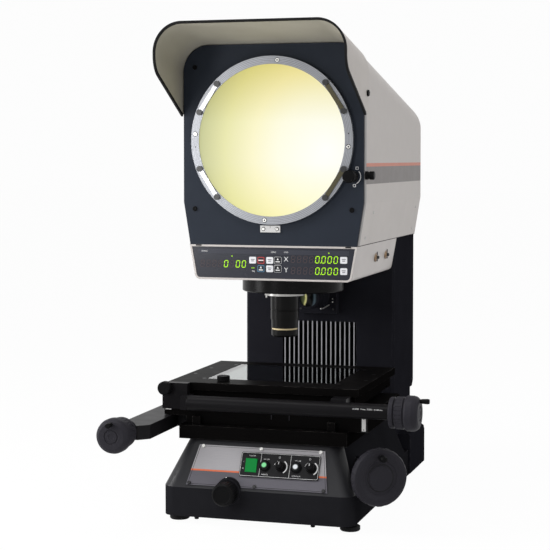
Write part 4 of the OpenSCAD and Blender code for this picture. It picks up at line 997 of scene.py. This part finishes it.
def add_ring_marks(work):
    """Two small holes in the ring, left and right."""
    for turn in (-RING_SCREW_TURN, 180 - RING_SCREW_TURN):
        add_plate(work, disc_outline(1.3, 16), RIM_T, on_ring(turn))


def add_screw_shade(work, places, radius):
    """Painted shade: a dark line round each screw where it meets the face, and a dark disc in its socket."""
    for place in places:
        add_frame(work, disc_outline(radius + SCREW_SHADE_W), disc_outline(radius), RIM_T, place)
        add_plate(work, disc_outline(SOCKET_SHADE_R, 12), SOCKET_SHADE_T, place)


drawn("ring_marks", add_ring_marks, "switch", "screen", "silver")
# Painted shade round the index and ring screws and in their sockets
drawn("index_screw_shade", add_screw_shade, "switch", "frame", "black_plastic", places=index_places, radius=INDEX_SCREW_R)
drawn("ring_screw_shade", add_screw_shade, "switch", "screen", "black_plastic", places=ring_places, radius=RING_SCREW_R)


def add_panel_feet(work):
    """The two dark pads between the front panel and the counter below it."""
    for x in (-157, 158):
        add_plate(work, round_outline(12, 2.4, 0.6), 0.8, on_front(x, 548.6, PANEL_Y), 0.2)


drawn("panel_feet", add_panel_feet, "rubber", "frame", "rubber")

# Sides and back: cover screws, joint lines and the counter's two adjusters
SIDES = ((1, BACK), (-1, -BACK))
TAPER_TOP, TAPER_RISE, TAPER_IN, TAPER_LEAN = 637, 87, 14, math.radians(9.1)
COVER_SCREWS = ((6, 615.3), (-34, 565.2), (430, 615.3), (430, 565.2))
REAR_SCREW_X = (-160, 160)
SEAM_Y, SEAM_Z, SEAM_LEN, SEAM_W = 189, 550.6, 552, 1.1


def on_cover_side(side, along, y, z, lean=0.0):
    """Lays a drawing on one side of the head's cover, which draws in below the taper's top."""
    x = HEAD_HALF - TAPER_IN * max(0, TAPER_TOP - z) / TAPER_RISE
    return surface(at(side * x, y, z), along, UP * math.cos(lean) + RIGHT * side * math.sin(lean))


def add_cover_seams(work):
    """The dark joint line along the cover's lower edge on both sides."""
    for side, along in SIDES:
        place = on_cover_side(side, along, SEAM_Y, SEAM_Z)
        add_plate(work, round_outline(SEAM_LEN, SEAM_W, 0.4, 2), 0.35, place)


side_places = [on_cover_side(side, along, y, z, TAPER_LEAN) for y, z in COVER_SCREWS for side, along in SIDES]
screws("cover_screws", side_places, "satin", "frame", "cover_grey", radius=3.2, height=1.2, socket=1.5)
column_places = [on_back(x, z, REAR_COVER_Y) for x in REAR_SCREW_X for z in (222, 370, 535)]
head_places = [on_back(x, z, HEAD_BACK_Y) for x in REAR_SCREW_X for z in (585, 760)]
screws("rear_screws", column_places + head_places, "dark_screw", "frame", "steel",
       radius=4.0, height=2.0, socket=1.8)
drawn("cover_seams", add_cover_seams, "rubber", "frame", "cover_grey")
ADJUSTER_Y, ADJUSTER_Z, COUNTER_SIDE = (92, 187), 518.5, 170.7
ADJUSTER_SEAT = [(0, 0), (9.5, 0), (9.5, 1.2), (8.4, 2.4), (5.2, 2.4), (4.6, 4.2), (0, 4.2)]
ADJUSTER_PIN = [(0, 4), (3.4, 4), (3.4, 7.6), (2.6, 8.8), (0, 8.8)]


def add_adjuster_seats(work):
    for y in ADJUSTER_Y:
        add_lathe(work, ADJUSTER_SEAT, on_right(y, ADJUSTER_Z, COUNTER_SIDE))


def add_adjuster_pins(work):
    """Each adjuster's pin, with the bracket behind and below it."""
    bracket_x = COUNTER_SIDE + 0.2
    for y in ADJUSTER_Y:
        add_lathe(work, ADJUSTER_PIN, on_right(y, ADJUSTER_Z, COUNTER_SIDE))
        add_plate(work, round_outline(3.0, 20.0, 1.2), 3.2, on_right(y + 9, ADJUSTER_Z + 1, bracket_x), 0.6)
        add_plate(work, round_outline(11.0, 2.6, 1.0), 2.6, on_right(y + 5, ADJUSTER_Z - 6, bracket_x), 0.6)


drawn("adjuster_seats", add_adjuster_seats, "bronze", "frame", "brass", smooth=True)
drawn("adjuster_pins", add_adjuster_pins, "dark_screw", "frame", "steel", smooth=True)

# Lens and illuminator: stop pin, screws and aiming lever
LENS_PIN = [(0, 0), (2.2, 0), (2.2, 6), (1.6, 7), (0, 7)]
LAMP_BLOCK_Y = 255
LEVER_X, LEVER_Z, LEVER_LEAN = 21, 395, math.radians(30)


def add_lens_pin(work):
    add_lathe(work, LENS_PIN, on_underside(-37, -7, 443.2))


drawn("lens_pin", add_lens_pin, "bright", "turret", "steel", smooth=True)
lamp_places = [on_front(x, z, LAMP_BLOCK_Y) for x, z in ((36, 413), (36, 406), (9, 390.5))]
screws("illuminator_screws", lamp_places, "bright", "frame", "steel", radius=1.6, height=1.4, socket=0.7)
block_places = [on_front(x, z, LAMP_BLOCK_Y) for x in (-37, 37) for z in (390, 452)]
screws("illuminator_block_screws", block_places, "dark_screw", "frame", "steel",
       radius=2.4, height=1.6, socket=1.1)


def add_lamp_lever(work):
    """The illuminator's small aiming lever below its tube."""
    place = on_front(LEVER_X, LEVER_Z, LAMP_BLOCK_Y) @ Matrix.Rotation(LEVER_LEAN, 4, "Z")
    add_plate(work, round_outline(19, 2.6, 1.2), 2.0, place, 0.5)


drawn("lamp_lever", add_lamp_lever, "rim", "frame", "steel", smooth=True)

# Stage: holes, scale plate, pins and the feed tube's print
STAGE_HOLES = ((141.5, -100.7), (182.6, -39.2), (178.4, 49.3), (143.2, 112.1))
SCALE_X, SCALE_Z, SCALE_T = 204.0, 206.2, 0.8


def add_stage_holes(work):
    """Dark discs that stand for the tapped holes along both ends of the stage."""
    for x, y in STAGE_HOLES:
        for side in (-x, x):
            add_plate(work, disc_outline(4.4), 0.05, on_top(side, y, STAGE_Z))


def add_scale_border(work):
    add_plate(work, round_outline(13.0, 33.0, 0.8), SCALE_T, on_front(204.6, 206.6, CARRIAGE_Y), 0.2)


def add_scale_plate(work):
    """The upright scale plate at the right and the small plate at the left."""
    scale = on_front(SCALE_X, SCALE_Z, CARRIAGE_Y - SCALE_T)
    add_plate(work, round_outline(8.0, 27.0, 0.6), SCALE_T, scale, 0.2)
    add_plate(work, round_outline(12.0, 3.2, 0.4), 1.0, on_front(-203.0, 218.4, CARRIAGE_Y), 0.2)


def add_carriage_pins(work):
    for x in (15.2, 52.0):
        add_plate(work, round_outline(1.7, 10.0, 0.8), 1.2, on_front(x, 211.6, CARRIAGE_Y), 0.3)


drawn("stage_holes", add_stage_holes, "switch", "x_stage", "stage_black")
drawn("scale_border", add_scale_border, "switch", "y_carriage", "stage_black")
drawn("scale_plate", add_scale_plate, "satin", "y_carriage", "steel")
drawn("carriage_pins", add_carriage_pins, "wheel", "y_carriage", "steel")
scale_places = [on_front(SCALE_X, SCALE_Z + step, CARRIAGE_Y - 2 * SCALE_T) for step in (-10.5, 10.5)]
screws("scale_screws", scale_places, "dark_screw", "y_carriage", "steel", radius=1.3, height=0.6, socket=0.6)
TUBE_R, TUBE_PRINT_X, TUBE_PRINT_RISE = 15.1, 226, math.radians(22)


def add_tube_print(work):
    """The feed's travel in small letters along the tube's upper front."""
    axis = measured(joint_point("x_wheel_turn"))
    out = UP * math.sin(TUBE_PRINT_RISE) - BACK * math.cos(TUBE_PRINT_RISE)
    up = UP * math.cos(TUBE_PRINT_RISE) + BACK * math.sin(TUBE_PRINT_RISE)
    place = surface(at(TUBE_PRINT_X, axis.y, axis.z) + out * TUBE_R * MM, RIGHT, up)
    add_words(work, "X AXIS   5 mm / TURN   0-100 mm", 2.8, place)


drawn("tube_print", add_tube_print, "print", "x_stage", "stage_black")

# Lift wheel and base: painted shade in the hub's groove, and studs
HUB_GROOVE, HUB_SHADE_IN, HUB_SHADE_OUT = 4.0, 25.4, 27.2
BASE_STUD = [(0, 0), (4.5, 0), (4.5, 6), (3.5, 7), (0, 7)]


def add_hub_shade(work):
    """Painted shade: a dark ring round the lift wheel's hub, at the bottom of its groove."""
    pivot, axis = joint_point("lift_wheel_turn"), joint_axis("lift_wheel_turn")
    face = max((vertex.co - pivot).dot(axis) for vertex in NODES["z_handwheel"].data.vertices)
    place = surface(pivot + axis * (face - HUB_GROOVE * MM), UP.cross(axis), UP)
    add_frame(work, disc_outline(HUB_SHADE_OUT, 64), disc_outline(HUB_SHADE_IN, 64), 0.15, place)


def add_base_studs(work):
    for x in (-127, 113):
        add_lathe(work, BASE_STUD, on_underside(x, -190, 15.2))


drawn("lift_hub_shade", add_hub_shade, "switch", "lift_wheel", "black_plastic")
drawn("base_studs", add_base_studs, "rubber", "frame", "rubber", smooth=True)

# Sloping front: prints, bezels and screws
PLATE_SCREW = {"radius": 4.0, "height": 2.2, "socket": 1.8}
top_places = [on_slope(x, 87.0, PLATE_FACE) for x in (-121, 0, 122)]
low_places = [on_slope(x, 9.5, PLATE_FACE) for x in (-139, -3, 137)]
screws("plate_top_screws", top_places, "bright", "frame", "steel", **PLATE_SCREW)
screws("plate_low_screws", low_places, "dark_screw", "frame", "steel", **PLATE_SCREW)
SWITCH_X, SWITCH_S, SWITCH_W, SWITCH_H = 43.0, 54.0, 162.0, 50.0
BORDER_IN, BORDER_W, BORDER_R = 1.0, 0.6, 3.5
DIVIDERS = (3.3, 64.5)
DIMMER_ARC_R = 13.2
LETTER_FACE = SWITCH_FACE + LETTER_HALF
POWER_X, POWER_SIGN_X = -15, -31.5


def switch_outline(inset, radius):
    """The switch panel's outline, drawn in by a margin."""
    return round_outline(SWITCH_W - 2 * inset, SWITCH_H - 2 * inset, radius)


def add_switch_print(work):
    """White border, dividers, dimmer arcs and plain words on the switch panel."""
    outer = switch_outline(BORDER_IN, BORDER_R)
    inner = switch_outline(BORDER_IN + BORDER_W, BORDER_R - BORDER_W)
    add_frame(work, outer, inner, PRINT_T, on_slope(SWITCH_X, SWITCH_S, SWITCH_FACE))
    for x in DIVIDERS:
        add_plate(work, round_outline(0.7, SWITCH_H - 3, 0.2), PRINT_T, on_slope(x, SWITCH_S, SWITCH_FACE))
    for x in DIMMER_X:
        for width, start, end in ((2.4, -60, 60), (0.8, 120, 165)):
            arc = arc_outline(DIMMER_ARC_R, width, start, end)
            add_plate(work, arc, PRINT_T, on_slope(x, CONTROL_S, SWITCH_FACE))
        add_frame(work, round_outline(4, 4, 1.9), round_outline(3, 3, 1.4), PRINT_T,
                  on_slope(x - 4, 71, SWITCH_FACE))
    add_words(work, "POWER", 2.8, on_slope(POWER_X, 71.5, LETTER_FACE))
    for sign, s in (("I", 59.0), ("O", 45.0)):
        add_words(work, sign, 2.6, on_slope(POWER_SIGN_X, s, LETTER_FACE))
    for x, word in zip(BUTTON_X, ("SURFACE", "CONTOUR")):
        add_words(work, "ON  OFF", 2.2, on_slope(x + 2, 66.0, LETTER_FACE))
        add_words(work, word, 2.4, on_slope(x + 2, 34.8, LETTER_FACE))


drawn("switch_print", add_switch_print, "print", "frame", "black_plastic")
PLATE_LINE_OUT = [(-142, 8), (142, 8), (128, 87.5), (-128, 87.5)]
PLATE_LINE_IN = [(-141.2, 8.7), (141.2, 8.7), (127.3, 86.9), (-127.3, 86.9)]
BEZEL = [(8.3, 0), (11, 0), (11, 2.4), (10.2, 3.4), (8.8, 3.4), (8.3, 2.8), (8.3, 0)]
POINTER_UP, DIMMER_TOP = 3.2, SWITCH_FACE + 15.3


def add_plate_print(work):
    """The small round dot on the control plate."""
    add_plate(work, disc_outline(1.1, 16), PRINT_T, on_slope(-63.8, 24.8, PLATE_FACE))


def add_plate_border(work):
    add_frame(work, PLATE_LINE_OUT, PLATE_LINE_IN, INK_T, on_slope(0, 0, PLATE_FACE))


def add_bezels(work):
    for x in BUTTON_X:
        add_lathe(work, BEZEL, on_slope(x, CONTROL_S, SWITCH_FACE), 40)


def add_pointer(work, x):
    """The white line on top of a dimmer's knob."""
    add_plate(work, round_outline(1.0, 5.2, 0.4), INK_T, on_slope(x, CONTROL_S + POINTER_UP, DIMMER_TOP))


drawn("plate_print", add_plate_print, "print", "frame", "control_plate")
drawn("plate_border", add_plate_border, "switch", "frame", "control_plate")
drawn("button_bezels", add_bezels, "plastic", "frame", "black_plastic", smooth=True)
for light, dimmer_x in zip(("surface", "contour"), DIMMER_X):
    drawn(light + "_pointer", add_pointer, "print", light + "_dimmer", "black_plastic", x=dimmer_x)

# Studio: floor, sky and lamps, in metres and watts
FLOOR_HALF, FLOOR_GREY, FLOOR_GLOW = 30, 0.85, 0.97
SKY_LIGHT, SKY_SEEN = 0.3, 0.98
# Each lamp's place, the point that it looks at, its width and height, and its power
LAMPS = {
    "key": ((-1.8, -0.8, 1.0), (0, 0, 0.6), (0.55, 1.5), 33),
    "glint": ((-0.85, -1.65, 0.8), (-0.1, -0.1, 0.76), (0.3, 0.8), 6),
    "fill": ((2.8, -0.6, 1.6), (0, 0.1, 0.6), (1.4, 2.0), 19),
    "top": ((-0.5, -0.9, 3.0), (0, 0.0, 0.5), (2.0, 1.6), 45),
}


def seen_rays(tree):
    """1 for rays from the camera and for those that gloss and glass send on."""
    path = add_node(tree, "ShaderNodeLightPath").outputs
    seen = path["Is Camera Ray"]
    for name in ("Is Glossy Ray", "Is Transmission Ray"):
        either = add_node(tree, "ShaderNodeMath", {0: seen, 1: path[name]}, operation="MAXIMUM")
        seen = either.outputs["Value"]
    return seen


def add_floor_grid(work):
    bmesh.ops.create_grid(work, x_segments=2, y_segments=2, size=FLOOR_HALF)


def backdrop():
    """A floor that is near white where it is seen or mirrored, and still takes the object's shadow."""
    floor = put("floor", mesh_from("floor", add_floor_grid))
    paint = bpy.data.materials.new("pale_floor")
    paint.use_nodes = True
    tree = paint.node_tree
    tree.nodes.clear()
    share = add_node(tree, "ShaderNodeMath", {0: seen_rays(tree), 1: FLOOR_GLOW}, operation="MULTIPLY")
    matt = add_node(tree, "ShaderNodeBsdfDiffuse", {"Color": grey(FLOOR_GREY)})
    glow = add_node(tree, "ShaderNodeEmission", {"Strength": 1.0})
    both = add_node(tree, "ShaderNodeMixShader",
                    {0: share.outputs["Value"], 1: matt.outputs["BSDF"], 2: glow.outputs["Emission"]})
    add_node(tree, "ShaderNodeOutputMaterial", {"Surface": both.outputs["Shader"]})
    floor.data.materials.append(paint)


def sky():
    """White where it is seen or mirrored, and a softer even light on the object."""
    world = bpy.data.worlds.new("studio")
    bpy.context.scene.world = world
    world.use_nodes = True
    tree = world.node_tree
    feeds = {"Value": seen_rays(tree), "To Min": SKY_LIGHT, "To Max": SKY_SEEN}
    level = add_node(tree, "ShaderNodeMapRange", feeds).outputs["Result"]
    back = tree.nodes["Background"]
    feed(tree, back.inputs["Color"], grey(1))
    feed(tree, back.inputs["Strength"], level)


def looking(direction):
    """The turn of a lamp or camera that looks along a direction."""
    return direction.to_track_quat("-Z", "Y").to_euler()


def lamp(name, place, aim, size, power):
    light = bpy.data.lights.new(name, "AREA")
    light.shape = "RECTANGLE"
    light.size, light.size_y = size
    light.energy = power
    holder = put(name, light)
    holder.location = place
    holder.rotation_euler = looking(Vector(aim) - Vector(place))


backdrop()
sky()
for lamp_name, lamp_values in LAMPS.items():
    lamp(lamp_name, *lamp_values)

# Camera at the photograph's angle: it stands in front at the right and looks to the left and a little down
CAMERA_LENS, CAMERA_SENSOR, CAMERA_SHIFT = 101.06, 36.0, -0.1
CAMERA_AT = at(902.3, -3065.9, 727.0)
CAMERA_TURN, CAMERA_DIP = math.radians(16.764), math.radians(2.307)


def camera():
    data = bpy.data.cameras.new("camera")
    data.lens, data.sensor_width, data.shift_y = CAMERA_LENS, CAMERA_SENSOR, CAMERA_SHIFT
    holder = put("camera", data)
    level = math.cos(CAMERA_DIP)
    look = Vector((-math.sin(CAMERA_TURN) * level, math.cos(CAMERA_TURN) * level, -math.sin(CAMERA_DIP)))
    holder.location = CAMERA_AT
    holder.rotation_euler = looking(look)
    bpy.context.scene.camera = holder


camera()
bpy.context.scene.view_settings.view_transform = "Standard"
